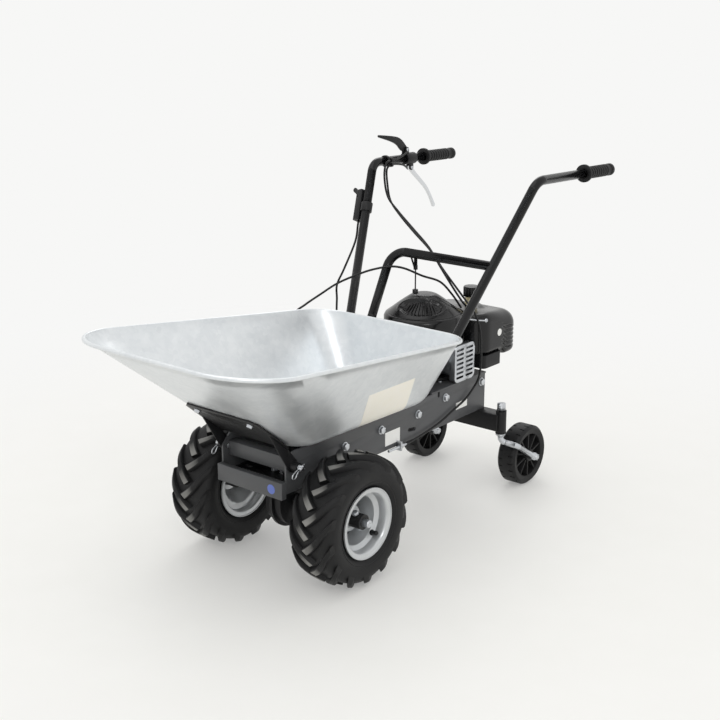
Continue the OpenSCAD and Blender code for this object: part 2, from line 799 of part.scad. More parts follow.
// Worm and worm wheel, drawn to the outside of their threads and teeth
worm_d = 24;
worm_len = 50;
wheel_r = worm_y - worm_d / 2 - move_gap;
belt_z = frame_z + 52;
pulley_h = 20;
module worm_shaft() {
    low = axle_z - worm_low + case_wall + 2;
    color(zinc) place() translate([case_mid, worm_y, 0]) {
        translate([0, 0, low]) cylinder(d = worm_shaft_d, h = belt_z + pulley_h - low);
        translate([0, 0, axle_z - worm_len / 2]) cylinder(d = worm_d, h = worm_len);
    }
}

module worm_wheel() {
    wheel_w = 22;
    color(bronze) place() translate([case_mid, 0, axle_z]) rotate([0, 90, 0]) difference() {
        translate([0, 0, -wheel_w / 2]) cylinder(r = wheel_r, h = wheel_w);
        translate([0, 0, -wheel_w]) cylinder(d = axle_d + 0.1, h = 2 * wheel_w);
    }
}

// Pulleys and belt
belt_t = 8;
belt_w = 12;
groove_w = belt_w + 2 * move_gap;
groove_h = belt_t + 2;
function belt_r(pulley_d) = pulley_d / 2 - groove_h + move_gap;

module pulley(d, bore) {
    difference() {
        cylinder(d = d, h = pulley_h);
        translate([0, 0, (pulley_h - groove_w) / 2]) difference() {
            cylinder(d = d + 2, h = groove_w);
            translate([0, 0, -1]) cylinder(d = d - 2 * groove_h, h = groove_w + 2);
        }
        translate([0, 0, -1]) cylinder(d = bore + 0.1, h = pulley_h + 2);
    }
}

module driven_pulley() {
    web_r = driven_pulley_d / 2 - groove_h - 8;
    color(black_paint) place() translate([case_mid, worm_y, belt_z - pulley_h / 2]) difference() {
        pulley(driven_pulley_d, worm_shaft_d);
        for (a = [0 : 60 : 300]) rotate([0, 0, a]) translate([web_r * 0.62, 0, -1])
            cylinder(d = web_r * 0.42, h = pulley_h + 2);
    }
}

module drive_pulley() {
    color(zinc) place() translate([crank_x, crank_y, belt_z - pulley_h / 2])
        pulley(drive_pulley_d, crank_d);
}

// The loop round two discs: an arc on each, joined by their tangents
module belt_loop(r_a, r_b, run) {
    lift = asin((r_a - r_b) / run);
    steps = 36;
    polygon(concat(
        [for (i = [0 : steps]) let (a = 180 - lift + (180 + 2 * lift) * i / steps)
            [r_a * cos(a), r_a * sin(a)]],
        [for (i = [0 : steps]) let (a = lift + (180 - 2 * lift) * i / steps)
            [r_b * cos(a), run + r_b * sin(a)]]
    ));
}

module drive_belt() {
    run = norm([crank_x - case_mid, crank_y - worm_y]);
    r_a = belt_r(driven_pulley_d);
    r_b = belt_r(drive_pulley_d);
    color(rubber) place() translate([case_mid, worm_y, belt_z - belt_w / 2])
        rotate([0, 0, -atan2(crank_x - case_mid, crank_y - worm_y)])
            linear_extrude(belt_w) difference() {
                belt_loop(r_a + belt_t, r_b + belt_t, run);
                belt_loop(r_a, r_b, run);
            }
}

// Idler: a swinging arm with a plain roller that tightens the belt
idler_pivot = [66, 470];
idler_roller = [58, 380];
idler_pin_d = 10;
idler_low = belt_z + belt_w / 2 + 3;
idler_t = 5;
module idler_arm() {
    roller_d = 26;
    color(zinc) place() {
        translate([0, 0, idler_low]) linear_extrude(idler_t) difference() {
            union() {
                translate(idler_pivot) circle(d = 26);
                translate(idler_roller) circle(d = 22);
                taper(idler_pivot, idler_roller, 16, 16);
            }
            translate(idler_pivot) circle(d = idler_pin_d + 2 * run_gap);
        }
        translate([idler_roller.x, idler_roller.y, belt_z - belt_w / 2])
            cylinder(d = roller_d, h = belt_w + 4);
    }
}

// Crankshaft: from inside the engine down through the deck to the drive pulley
crank_in = 60;
module crankshaft() {
    color(zinc) place() translate([crank_x, crank_y, belt_z - pulley_h])
        cylinder(d = crank_d, h = deck_top + crank_in - belt_z + pulley_h);
}

// Engine base and crankcase, with the bracket under the tank
crankcase_r = 64;
crankcase_top = deck_top + 106;
module engine_crankcase() {
    base_t = 10;
    base_r = engine_bolt_r + 14;
    high = crankcase_top - deck_top;
    nose = [72, crankcase_r, 74];
    bracket = [26, 40, tank_low - deck_top];
    color(black_paint) place() difference() {
        union() {
            translate([crank_x, crank_y, deck_top]) rotate_extrude() polygon([
                [0, 0], [base_r, 0], [base_r, base_t], [crankcase_r + 5, base_t],
                [crankcase_r + 1, base_t + 8], [crankcase_r, high], [0, high]
            ]);
            translate([crank_x - nose.x / 2, crank_y - crankcase_r - 10, deck_top + 14]) cube(nose);
            translate([crank_x + 68, crank_y + 60, deck_top]) cube(bracket);
        }
        translate([crank_x, crank_y, deck_top - 1])
            cylinder(d = crank_d + 2 * run_gap, h = crank_in + 2);
        for (a = [45 : 90 : 315]) translate(engine_bolt_place(a) + [0, 0, deck_top - 1])
            cylinder(d = case_bolt_d + 2 * seat_gap, h = base_t + 1.01);
    }
}

// Finned cylinder and head, pointing forwards, with its spark plug
fin_front = 478;
cyl_z = deck_top + 60;
module engine_cylinder() {
    rear = crank_y - crankcase_r - 10;
    fin_w = 92;
    fin_h = 80;
    fin_t = 2.5;
    pitch = 6.5;
    fins = floor((rear - fin_front) / pitch);
    color(aluminium) place() {
        difference() {
            union() {
                translate([crank_x, fin_front, cyl_z]) rotate([-90, 0, 0])
                    cylinder(d = 66, h = rear - fin_front);
                for (i = [0 : fins - 1])
                    translate([crank_x, fin_front + i * pitch, cyl_z]) rotate([-90, 0, 0])
                        linear_extrude(i == 0 ? 2 * fin_t : fin_t) round_rect(fin_w, fin_h, 10);
            }
            translate([crank_x, fin_front - 1, cyl_z]) rotate([-90, 0, 0]) cylinder(d = 10, h = 16);
        }
        translate([crank_x, fin_front, cyl_z]) rotate([90, 0, 0]) {
            cylinder(d = 19, h = 7, $fn = 6);
            translate([0, 0, 7]) cylinder(d = 12, h = 12);
            translate([0, 0, -12]) cylinder(d = 9.5, h = 12);
        }
    }
}

// Silencer: a pressed box on the left with a bent pipe from the cylinder
muffler_mid = [0, 603, deck_top + 59];
muffler_in = crank_x + crankcase_r + 9;
muffler_out = plate_out - 2;
muffler_y = 86;
muffler_h = 84;
guard_gap = 5;
module muffler() {
    pipe_d = 22;
    pipe_x = muffler_in + 20;
    stud_d = 8;
    color(aluminium) place() {
        translate(muffler_mid) side_sheet(muffler_in, muffler_out - muffler_in)
            round_rect(muffler_y, muffler_h, 16);
        for (z = [-1, 1]) translate(muffler_mid + [muffler_out - 1, 0, z * guard_row * 3])
            rotate([0, 90, 0]) cylinder(d = stud_d, h = guard_gap + 1);
        bent_tube([
            [pipe_x, muffler_mid.y - muffler_y / 2 + 2, cyl_z], [pipe_x, fin_front + 14, cyl_z],
            [crank_x + 46, fin_front + 14, cyl_z]
        ], pipe_d, 2, 16);
    }
}

// Silencer guard: a bright pressed cover with two columns of slots
guard_row = 13;
module muffler_guard() {
    guard_y = muffler_y + 8;
    guard_h = 104;
    guard_t = 2;
    rim = guard_gap + 12;
    x = muffler_out + guard_gap;
    color(zinc) place() translate([0, muffler_mid.y, deck_top + 2 + guard_h / 2]) difference() {
        side_sheet(x - rim, rim + guard_t) round_rect(guard_y, guard_h, 16);
        side_sheet(x - rim - 1, rim + 1) round_rect(guard_y - 2 * guard_t, guard_h - 2 * guard_t, 14);
        side_sheet(x - 1, guard_t + 2) for (row = [-3 : 3], col = [-1, 1])
            translate([col * guard_y * 0.235, row * guard_row]) slot_shape(guard_y * 0.36, guard_row * 0.5);
    }
}

// Blower housing: a moulded shroud over the crankcase
blower_low = crankcase_top;
blower_top = dome_top - 56;
shell_t = 3;
dome_r = blower_r - 9;
module blower_housing() {
    inside_r = blower_r - shell_t - 6;
    floor_in = blower_low + shell_t;
    color(black_plastic) place() translate([crank_x, crank_y, 0]) difference() {
        rotate_extrude() polygon([
            [0, blower_low], [blower_r - 4, blower_low], [blower_r, blower_low + 10],
            [blower_r, blower_top - 10], [blower_r - 4, blower_top - 3], [dome_r, blower_top],
            [0, blower_top]
        ]);
        translate([0, 0, floor_in]) cylinder(r = inside_r, h = blower_top - floor_in - 10);
        translate([0, 0, blower_low - 1]) cylinder(r = crankcase_r - 12, h = shell_t + 2);
        translate([0, 0, blower_low + 20]) cylinder(r = dome_r - 24, h = blower_top);
    }
}

// Starter dome: a moulded cone with a ring of cooling slots over the recoil starter
rope_place = [-47, 584];
rope_d = 4;
function rope_at(z) = [rope_place.x, rope_place.y, z];
module recoil_cover() {
    top_r = 28;
    high = dome_top - blower_top;
    slope_low = [dome_r - 31, high - 26];
    slope_high = [top_r + 8, high - 4];
    slope = slope_low - slope_high;
    slots = 24;
    slot_w = 5;
    slot_in = 3.5;
    boss_d = 16;
    color(black_plastic) place() difference() {
        translate([crank_x, crank_y, blower_top]) difference() {
            rotate_extrude() polygon([
                [0, 0], [dome_r - 1, 0], [dome_r - 6, 4], slope_low, slope_high, [top_r, high], [0, high]
            ]);
            translate([0, 0, -1]) cylinder(r = dome_r - 26, h = 16);
            for (i = [0 : slots - 1]) rotate([0, 0, i * 360 / slots])
                translate([slope_high.x, 0, slope_high.y]) rotate([0, atan2(-slope.y, slope.x), 0])
                    translate([4, -slot_w / 2, -slot_in]) cube([norm(slope) - 8, slot_w, 2 * slot_in]);
        }
        translate(rope_at(blower_top - 1)) cylinder(d = rope_d + 1, h = 2 * high);
    }
    color(black_plastic) place() translate(rope_at(dome_top)) difference() {
        translate([0, 0, -1]) cylinder(d = boss_d, h = 5);
        translate([0, 0, -2]) cylinder(d = rope_d + 1, h = 8);
    }
}

// Starter rope and its T grip, led up from the dome to the guide behind the brace
rope_low = dome_top - 12;
grip_low = guide_z + guide_h + move_gap;
module starter_rope() {
    color(black_plastic) place() translate(rope_at(rope_low)) cylinder(d = rope_d, h = grip_low - rope_low);
}

module starter_handle() {
    bar_len = 84;
    bar_d = 16;
    stem_d = 10;
    bar_z = 27;
    color(black_plastic) place() translate(rope_at(grip_low)) {
        cylinder(d = stem_d, h = bar_z);
        translate([-bar_len / 2 + bar_d / 2, 0, bar_z]) rotate([0, 90, 0])
            cylinder(d = bar_d, h = bar_len - bar_d);
        for (side = [-1, 1]) translate([side * (bar_len - bar_d) / 2, 0, bar_z]) sphere(d = bar_d);
    }
}

// Fuel tank behind the blower housing, with ribs round its rear
tank_low = deck_top + 58;
tank_top = dome_top - 60;
tank_left = 132;
tank_right = -116;
tank_front = 650;
tank_rear = 846;
module tank_plan(grow) {
    corner = 52;
    translate([(tank_left + tank_right) / 2, (tank_front + tank_rear) / 2])
        round_rect(tank_left - tank_right + 2 * grow, tank_rear - tank_front + 2 * grow, corner + grow);
}

module fuel_tank() {
    edge = 20;
    rib_pitch = 12;
    rib_gap = 5;
    rib_in = 3;
    rib_front = 756;
    high = tank_top - tank_low;
    color(black_plastic) place() difference() {
        union() {
            for (i = [0 : 2]) let (a = 90 * i / 3, b = 90 * (i + 1) / 3) {
                tank_layer(edge * (sin(a) - 1), edge * (sin(b) - 1), edge * (1 - cos(a)), edge * (1 - cos(b)));
                translate([0, 0, 2 * tank_low + high]) mirror([0, 0, 1])
                    tank_layer(edge * (sin(a) - 1), edge * (sin(b) - 1), edge * (1 - cos(a)), edge * (1 - cos(b)));
            }
            translate([0, 0, tank_low + edge]) linear_extrude(high - 2 * edge) tank_plan(0);
        }
        translate([crank_x, crank_y, tank_low - 1]) cylinder(r = blower_r + seat_gap, h = high + 2);
        for (z = [tank_low + edge + 2 : rib_pitch : tank_top - edge - rib_gap]) translate([0, 0, z])
            linear_extrude(rib_gap) difference() {
                translate([tank_right - 1, rib_front]) square([tank_left - tank_right + 2, tank_rear]);
                tank_plan(-rib_in);
            }
    }
}

// One step of the tank's rounded edge, between two insets and two heights
module tank_layer(inset_a, inset_b, low, high) {
    hull() {
        translate([0, 0, tank_low + low]) linear_extrude(0.01) tank_plan(inset_a);
        translate([0, 0, tank_low + high]) linear_extrude(0.02) tank_plan(inset_b);
    }
}

// Filler neck: a pale ring on the tank under the cap
cap_place = [26, 752];
cap_d = 46;
neck_d = 36;
neck_top = tank_top + 25;
module fuel_neck() {
    color(cream) place() translate([cap_place.x, cap_place.y, tank_top])
        cylinder(d = neck_d, h = neck_top - tank_top);
}

// Filler cap: a ribbed cap over the neck
module fuel_cap() {
    cap_h = 28;
    ribs = 18;
    rib_d = 5;
    color(black_plastic) place() translate([cap_place.x, cap_place.y, neck_top + 0.3]) {
        cylinder(d = cap_d - 4, h = cap_h);
        for (i = [0 : ribs - 1]) rotate([0, 0, i * 360 / ribs])
            translate([cap_d / 2 - rib_d / 2, 0, 0]) cylinder(d = rib_d, h = cap_h - 2, $fn = 24);
    }
}

// Air cleaner: a moulded box on the left under the tank
module air_cleaner() {
    size = [56, 88, 37];
    front = 668;
    color(black_plastic) place()
        translate([tank_left - size.x / 2, front + size.y / 2, tank_low - size.z])
            linear_extrude(size.z) round_rect(size.x, size.y, 12);
}

// Cables from the levers and the throttle, routed by hand
cable_d = 6;
module clutch_cable() {
    color(black_plastic) place() cable([
        [-265, 826, 874], [-256, 796, 886], [-252, 758, 893], [-252, 735, 893], [-252, 714, 882],
        [-251, 716, 840], [-244, 722, 792], [-204, 715, 755], [-139, 697, 716], [-66, 676, 677],
        [0, 657, 627], [74, 640, 572], [120, 632, 534], [138, 634, 490], [140, 638, 440],
        [139, 642, 390], [130, 645, 346], [118, 638, 316], [116, 604, 293], [116, 546, 275], [116, 491, 258],
        [116, 423, 246], [116, 357, 239], [116, 334, 238]
    ], cable_d, 2);
}

module stop_cable() {
    color(black_plastic) place() cable([
        [-262, 822, 921], [-256, 796, 914], [-252, 762, 907.5], [-252, 735, 907], [-251, 708, 898],
        [-248, 698, 860], [-238, 702, 806], [-200, 700, 770], [-134, 684, 730], [-62, 664, 688],
        [-6, 646, 640], [34, 652, 586], [50, 674, 546], [54, 700, 522.6]
    ], cable_d, 2);
}

module throttle_cable() {
    color(black_plastic) place() cable([
        [-266.1, 605.6, 759], [-263.6, 599.7, 748.5], [-261, 593.8, 737.9], [-264, 585, 689],
        [-276, 550, 615], [-286, 530, 570], [-290, 534, 524],
        [-294, 530, 470], [-300, 490, 430], [-302, 430, 430], [-304, 385, 468], [-300, 366, 516],
        [-280, 386, 541], [-256, 426, 568], [-214, 450, 601], [-160, 480, 630], [-123, 498, 645],
        [-84, 520, 654], [-56, 546, 648], [-22, 582, 626], [8, 624, 606], [24, 660, 566], [32, 694, 522.4]
    ], cable_d, 2);
}

// Cable stop: a bright threaded adjuster and its bracket under the left plate
module cable_stop() {
    stop_y = 334;
    color(zinc) place() translate([116, 0, frame_z]) {
        translate([0, stop_y - 74, 0]) rotate([-90, 0, 0]) cylinder(d = 7, h = 74);
        translate([0, stop_y - 26, 0]) rotate([-90, 0, 0]) cylinder(d = 12, h = 12, $fn = 6);
        translate([plate_out - 116, stop_y - 30, -10]) cube([17, 4, 26]);
    }
}

// Tray: one pressed sheet, drawn as rings from the floor up the walls and over the bead
floor_z = frame_top + 0.3 + sheet_t;
arc_steps = 8;
side_steps = 4;

// The points of one rounded corner of a flat outline
function corner_arc(prev, v, next, r) = let (
    a = unit(v - prev),
    b = unit(next - v),
    turn = acos(a * b),
    n = unit(b - a * (a * b)),
    c = v - a * r * tan(turn / 2) + n * r
) [for (i = [0 : arc_steps]) c + r * (a * sin(turn * i / arc_steps) - n * cos(turn * i / arc_steps))];

// A rounded four-sided outline, anticlockwise seen from above, from the front left corner
function tray_outline(front, rear, front_w, rear_w, front_r, rear_r) = let (
    v = [[front_w / 2, -front], [rear_w / 2, rear], [-rear_w / 2, rear], [-front_w / 2, -front]],
    r = [front_r, rear_r, rear_r, front_r],
    arcs = [for (i = [0 : 3]) corner_arc(v[(i + 3) % 4], v[i], v[(i + 1) % 4], r[i])]
) [for (i = [0 : 3]) each concat(arcs[i], [for (s = [1 : side_steps - 1])
    arcs[i][arc_steps] + (arcs[(i + 1) % 4][0] - arcs[i][arc_steps]) * s / side_steps])];

function rim_height(y) =
    rim_rear_z + (rim_front_z - rim_rear_z) * (tray_rear - y) / (tray_rear + tray_front);
floor_line = [for (p = tray_outline(floor_front, floor_rear, floor_front_w, floor_rear_w, 70, 62))
    [p.x, p.y, floor_z]];
rim_line = [for (p = tray_outline(tray_front, tray_rear, rim_front_w, rim_rear_w, 150, 88))
    [p.x, p.y, rim_height(p.y)]];

// The level direction into a closed outline at one of its points
function inward(line, i) = let (
    n = len(line),
    t = unit(flat(line[(i + 1) % n] - line[(i + n - 1) % n]))
) [-t.y, t.x, 0];

// One section of the tray, from the floor inside, up, round the bead and down outside
function fillet_point(f, inwards, up, r, t) =
    f + inwards * r * (1 - t) * (1 - t) + up * r * t * t;
function tray_section(f, r, inwards) = let (
    up = unit(r - f),
    out = unit([up.x, up.y, 0]),
    slope = norm(flat(up)),
    f_out = f + out * sheet_t * (1 - slope) / up.z - [0, 0, sheet_t],
    r_out = r + out * sheet_t / up.z,
    bead_mid = r + out * bead_d / 2,
    fillet_r = 44,
    steps = 5
) concat(
    [for (i = [0 : steps]) fillet_point(f, inwards, up, fillet_r, i / steps)],
    [f + (r - f) * 0.6],
    [for (a = [180 : -30 : -90]) bead_mid + bead_d / 2 * (out * cos(a) + [0, 0, sin(a)])],
    [r_out - up * bead_d * 0.8, f_out + (r_out - f_out) * 0.6],
    [for (i = [steps : -1 : 0]) fillet_point(f_out, inwards, up, fillet_r + sheet_t, i / steps)]
);

module tray_skin() {
    sections = [for (i = [0 : len(floor_line) - 1])
        tray_section(floor_line[i], rim_line[i], inward(floor_line, i))];
    around = len(sections);
    deep = len(sections[0]);
    polyhedron([for (s = sections) each s], concat(
        [[for (i = [around - 1 : -1 : 0]) i * deep]],
        [[for (i = [0 : around - 1]) i * deep + deep - 1]],
        [for (i = [0 : around - 1]) for (k = [0 : deep - 2])
            let (a = i * deep + k, b = ((i + 1) % around) * deep + k) each [
                [a, a + 1, b + 1], [a, b + 1, b]
            ]]
    ), convexity = 8);
}

// The slope of the front wall and a frame that lies on its outside
wall_run = tray_front - floor_front;
wall_rise = rim_front_z - floor_z;
wall_angle = atan2(wall_rise, wall_run);
cradle_bolts = [for (x = [-86, 86]) [x, 150]];

// X across the machine, Y up the front wall, Z out of the wall, from the floor's front edge
module on_front_wall() {
    translate([0, -floor_front, floor_z]) rotate([180 - wall_angle, 0, 0])
        translate([0, 0, sheet_t]) children();
}

module tray_pan() {
    color(galvanised) place() difference() {
        tray_skin();
        on_front_wall() for (p = cradle_bolts) translate([p.x, p.y, -20])
            cylinder(d = case_bolt_d + 2 * seat_gap, h = 30);
    }
}

// Tray cradle: a plate under the front wall with an arm down to each hinge pin
module tray_cradle() {
    half_w = 118;
    arm_t = 4;
    eye_d = 34;
    boss_d = hinge_pin_d + 10;
    low = 24;
    high = 176;
    color(black_paint) place() difference() {
        union() {
            on_front_wall() translate([0, 0, 0.3]) linear_extrude(cradle_t) polygon([
                [-half_w + 6, low], [half_w - 6, low], [half_w, low + 12], [half_w, high - 16],
                [half_w - 16, high], [-half_w + 16, high], [-half_w, high - 16], [-half_w, low + 12]
            ]);
            for (side = [0, 1]) mirror([side, 0, 0]) {
                side_sheet(plate_out + move_gap, arm_t) {
                    translate([hinge_y, hinge_z]) circle(d = eye_d);
                    cradle_arm(eye_d / 2);
                }
                translate([plate_out + move_gap, hinge_y, hinge_z]) rotate([0, 90, 0])
                    cylinder(d = boss_d, h = clip_x - clip_wire - plate_out - move_gap - 1);
            }
        }
        for (side = [0, 1]) mirror([side, 0, 0])
            translate([plate_out, hinge_y, hinge_z]) rotate([0, 90, 0])
                cylinder(d = hinge_pin_d + 2 * run_gap, h = 60);
        on_front_wall() for (p = cradle_bolts) translate([p.x, p.y, -1])
            cylinder(d = case_bolt_d + 2 * seat_gap, h = 20);
    }
}

// The side view of an arm: from the eye up to the underside of the cradle plate
function wall_point(up, out) = [
    -floor_front - up * cos(wall_angle) - out * sin(wall_angle),
    floor_z + up * sin(wall_angle) - out * cos(wall_angle)
];
module cradle_arm(r) {
    under = sheet_t + 0.3 + cradle_t / 2;
    polygon([
        [hinge_y + r * 0.9, hinge_z + r * 0.4], wall_point(30, under), wall_point(110, under),
        [hinge_y - r * 0.9, hinge_z - r * 0.4]
    ]);
}

module tray_bolts() {
    color(zinc) place() on_front_wall() for (p = cradle_bolts)
        translate([p.x, p.y, 0.3 + cradle_t]) {
            bolt(case_bolt_d, cradle_t + sheet_t + 10, 13, 5);
            translate([0, 0, -cradle_t - sheet_t - 0.5 - 6]) nut(case_bolt_d, 13, 6);
        }
}

// Drive wheels: local Z is the axle, outwards; both halves of the tread point forwards
module on_wheel(side) {
    translate([side * wheel_track / 2, 0, axle_z]) rotate([0, 90 * side, 0])
        rotate([0, 0, side > 0 ? 0 : 180]) children();
}

axle_over = 40;
hub_bolt_x = wheel_track / 2 + axle_over - 16;
hub_bolt_turn = -70;
module hub_bolt_hole(reach) {
    rotate([90, 0, 0]) translate([0, 0, -reach]) cylinder(d = case_bolt_d + 2 * seat_gap, h = 2 * reach);
}

module axle_shaft() {
    half = wheel_track / 2 + axle_over;
    color(zinc) place() translate([0, 0, axle_z]) rotate([0, 90, 0]) difference() {
        translate([0, 0, -half]) cylinder(d = axle_d, h = 2 * half);
        for (side = [-1, 1]) translate([0, 0, side * hub_bolt_x])
            rotate([0, 0, side * hub_bolt_turn]) hub_bolt_hole(axle_d);
    }
}

module wheel_hubs() {
    hub_in = 26;
    hub_out = 44;
    color(black_paint) place() for (side = [-1, 1]) on_wheel(side) difference() {
        translate([0, 0, -hub_in]) cylinder(d = hub_d, h = hub_in + hub_out);
        translate([0, 0, -hub_in - 1]) cylinder(d = axle_d + 0.1, h = hub_in + hub_out + 2);
        translate([0, 0, hub_bolt_x - wheel_track / 2]) rotate([0, 0, hub_bolt_turn]) hub_bolt_hole(hub_d);
    }
}

module wheel_bolts() {
    flat_off = hub_d / 2 + 1;
    color(zinc) place() for (side = [-1, 1]) on_wheel(side)
        translate([0, 0, hub_bolt_x - wheel_track / 2]) rotate([90, 0, hub_bolt_turn])
            translate([0, 0, flat_off]) {
                bolt(case_bolt_d, 2 * flat_off + 8, 13, 5);
                translate([0, 0, -2 * flat_off - 7]) nut(case_bolt_d, 13, 7);
            }
}

// Rim: a rolled barrel with bead seats and a drop centre, and a dished disc
module rim() {
    flange_r = rim_flange_d / 2;
    seat_r = rim_seat_d / 2;
    well_r = seat_r - 12;
    half = tyre_w / 2 - 9;
    flange_turn = 5;
    outside = [
        [flange_r, half + flange_turn], [flange_r, half], [seat_r + 3, half - 1], [seat_r, half - 4],
        [seat_r, half - 24], [well_r, half - 30]
    ];
    inside = [
        [well_r - rim_t, half - 29], [seat_r - rim_t, half - 23], [seat_r - rim_t, half - 3],
        [seat_r + 1, half + 2], [flange_r - rim_t, half + 3], [flange_r - rim_t, half + flange_turn]
    ];
    disc_z = -38;
    disc_t = 3;
    cone_h = 40;
    cone_r = seat_r - 22;
    hole_r = hub_d / 2 + 0.05;
    rotate_extrude() {
        polygon(concat(
            outside, [for (i = [len(outside) - 1 : -1 : 0]) [outside[i].x, -outside[i].y]],
            [for (i = [len(inside) - 1 : -1 : 0]) [inside[i].x, -inside[i].y]], inside
        ));
        polygon([
            [seat_r - rim_t / 2, disc_z], [cone_r + 4, disc_z], [cone_r, disc_z + 3],
            [hole_r + 12, disc_z + cone_h], [hole_r, disc_z + cone_h], [hole_r, disc_z + cone_h + disc_t],
            [hole_r + 13, disc_z + cone_h + disc_t], [cone_r + 2, disc_z + 4 + disc_t],
            [cone_r + 5, disc_z + disc_t], [seat_r - rim_t / 2, disc_z + disc_t]
        ]);
    }
}

module rim_left() {
    color(silver_paint) place() on_wheel(1) rim();
}

module rim_right() {
    color(silver_paint) place() on_wheel(-1) rim();
}

// Tyre: an open carcass with two rows of slanted bars that meet in arrows
module tyre() {
    r = tyre_d / 2;
    base_r = r - lug_h;
    half = tyre_w / 2;
    bead_r = rim_seat_d / 2 + 0.3;
    clear_r = rim_flange_d / 2 + 2;
    bead_half = half - 14;
    wall = 7;
    crown = [
        [clear_r, bead_half + 2.5], [clear_r + 12, half - 2], [(clear_r + base_r) / 2 + 6, half],
        [base_r - 14, half - 3], [base_r - 4, half - 12], [base_r, half - 30]
    ];
    bore = [
        [base_r - wall - 1, half - 32], [base_r - wall - 6, half - 16], [base_r - wall - 14, half - 10],
        [clear_r + 8, half - 10], [clear_r - 2, bead_half - wall], [bead_r, bead_half - wall]
    ];
    rotate_extrude() polygon(concat(
        [[bead_r, bead_half]], crown,
        [for (i = [len(crown) - 1 : -1 : 0]) [crown[i].x, -crown[i].y]], [[bead_r, -bead_half]],
        [for (i = [len(bore) - 1 : -1 : 0]) [bore[i].x, -bore[i].y]], bore
    ));
    for (half_side = [0, 1]) mirror([0, 0, half_side]) for (i = [0 : lug_count - 1])
        rotate([0, 0, (i + half_side / 2) * 360 / lug_count]) lug(r, base_r, half);
}

// One bar of the tread: a curved ridge from the middle over the shoulder, as rings of points.
// A ring is its reach along the axle, its turn, its outer and inner radius and its slant.
module lug(r, base_r, half) {
    rings = 6;
    sweep = 31;
    width = 20;
    foot = 3;
    sink = 5;
    overlap = 5;
    shoulder = 0.6;
    slant = 0.8;
    rows = [for (i = [0 : rings]) let (
        t = i / rings,
        drop = pow(max(0, t - shoulder) / (1 - shoulder), 2)
    ) [
        -overlap + (half + overlap - 1) * t, sweep * t - 4 * sin(180 * t),
        r - (r - base_r + 6) * drop * 0.9, base_r - sink - 24 * drop, slant * (1 - t)
    ]];
    function spot(q, off, radius) = let (a = q[1] + off * (1 - q[4] / 2) / radius * 180 / PI)
        [radius * cos(a), radius * sin(a), q[0] - off * q[4]];
    points = [for (q = rows) each [
        spot(q, -width / 2 - foot, q[3]), spot(q, -width / 2, q[2]),
        spot(q, width / 2, q[2]), spot(q, width / 2 + foot, q[3])
    ]];
    polyhedron(points, concat(
        [[0, 1, 2], [0, 2, 3]],
        [let (e = 4 * rings) each [[e, e + 2, e + 1], [e, e + 3, e + 2]]],
        [for (i = [0 : rings - 1]) for (k = [0 : 3]) let (a = 4 * i, n = (k + 1) % 4) each [
            [a + k, a + 4 + k, a + 4 + n], [a + k, a + 4 + n, a + n]
        ]]
    ), convexity = 4);
}

module tyre_left() {
    color(rubber) place() on_wheel(1) mirror([0, 1, 0]) tyre();
}

module tyre_right() {
    color(rubber) place() on_wheel(-1) tyre();
}

// Castor forks: a spindle in the post, a bent bar to one side of the wheel and the wheel bolt
castor_z = castor_d / 2;
arm_x = castor_w / 2 + castor_bar_d / 2 + 3;
module castor_fork() {
    spindle_top = post_high + bush_flange_t + 16;
    shoulder_z = post_low - bush_flange_t - move_gap;
    bar_bend_r = 17;
    cap_d = castor_bar_d + 8;
    eye_d = castor_bar_d + 6;
    translate([0, castor_pivot, 0]) {
        bent_tube([
            [0, 0, spindle_top], [0, 0, shoulder_z - 24], [arm_x, 27, shoulder_z - 38],
            [arm_x, castor_trail, castor_z]
        ], castor_bar_d, 0, bar_bend_r);
        translate([0, 0, shoulder_z - 5]) cylinder(d = post_d - 2, h = 5);
        translate([0, 0, post_high + bush_flange_t + move_gap]) cylinder(d = cap_d, h = 20);
        translate([arm_x - castor_bar_d / 2 + 1, castor_trail, castor_z]) rotate([0, 90, 0])
            cylinder(d = eye_d, h = castor_bar_d - 2);
        translate([-castor_w / 2 - 9, castor_trail, castor_z]) rotate([0, 90, 0]) {
            cylinder(d = castor_bolt_d, h = castor_w / 2 + 9 + arm_x + castor_bar_d / 2 + 6);
            cylinder(d = 17 / cos(30), h = 7, $fn = 6);
        }
        translate([arm_x + castor_bar_d / 2 - 1, castor_trail, castor_z]) rotate([0, 90, 0])
            cylinder(d = 17 / cos(30), h = 8, $fn = 6);
    }
}

module castor_fork_left() {
    color(zinc) place() translate([castor_track / 2, 0, 0]) castor_fork();
}

module castor_fork_right() {
    color(zinc) place() translate([-castor_track / 2, 0, 0]) castor_fork();
}

// Castor wheel: a spoked moulded hub inside a solid grooved tyre
module castor_wheel() {
    spokes = 10;
    rim_r = castor_d / 2 - 24;
    hub_r = 17;
    web_t = 12;
    bevel = 8;
    rotate([0, 90, 0]) difference() {
        union() {
            rotate_extrude() polygon([
                [rim_r, -castor_w / 2 + 4], [castor_d / 2 - bevel, -castor_w / 2],
                [castor_d / 2, -castor_w / 2 + bevel], [castor_d / 2, castor_w / 2 - bevel],
                [castor_d / 2 - bevel, castor_w / 2], [rim_r, castor_w / 2 - 4]
            ]);
            translate([0, 0, -castor_w / 2]) cylinder(r = hub_r, h = castor_w);
            translate([0, 0, -web_t / 2]) cylinder(r = rim_r + 1, h = web_t);
            for (i = [0 : spokes - 1]) rotate([0, 0, i * 360 / spokes])
                translate([hub_r - 2, -2, -castor_w / 2 + 6]) cube([rim_r - hub_r + 3, 4, castor_w - 12]);
        }
        translate([0, 0, -castor_w]) cylinder(d = castor_bolt_d + 2 * run_gap, h = 2 * castor_w);
        for (i = [0 : 23], side = [-1, 1]) rotate([0, 0, (i + side / 4) * 15])
            translate([castor_d / 2 - 3, -2, side * (castor_w / 4 + 2) - 7]) cube([6, 4, 14]);
    }
}

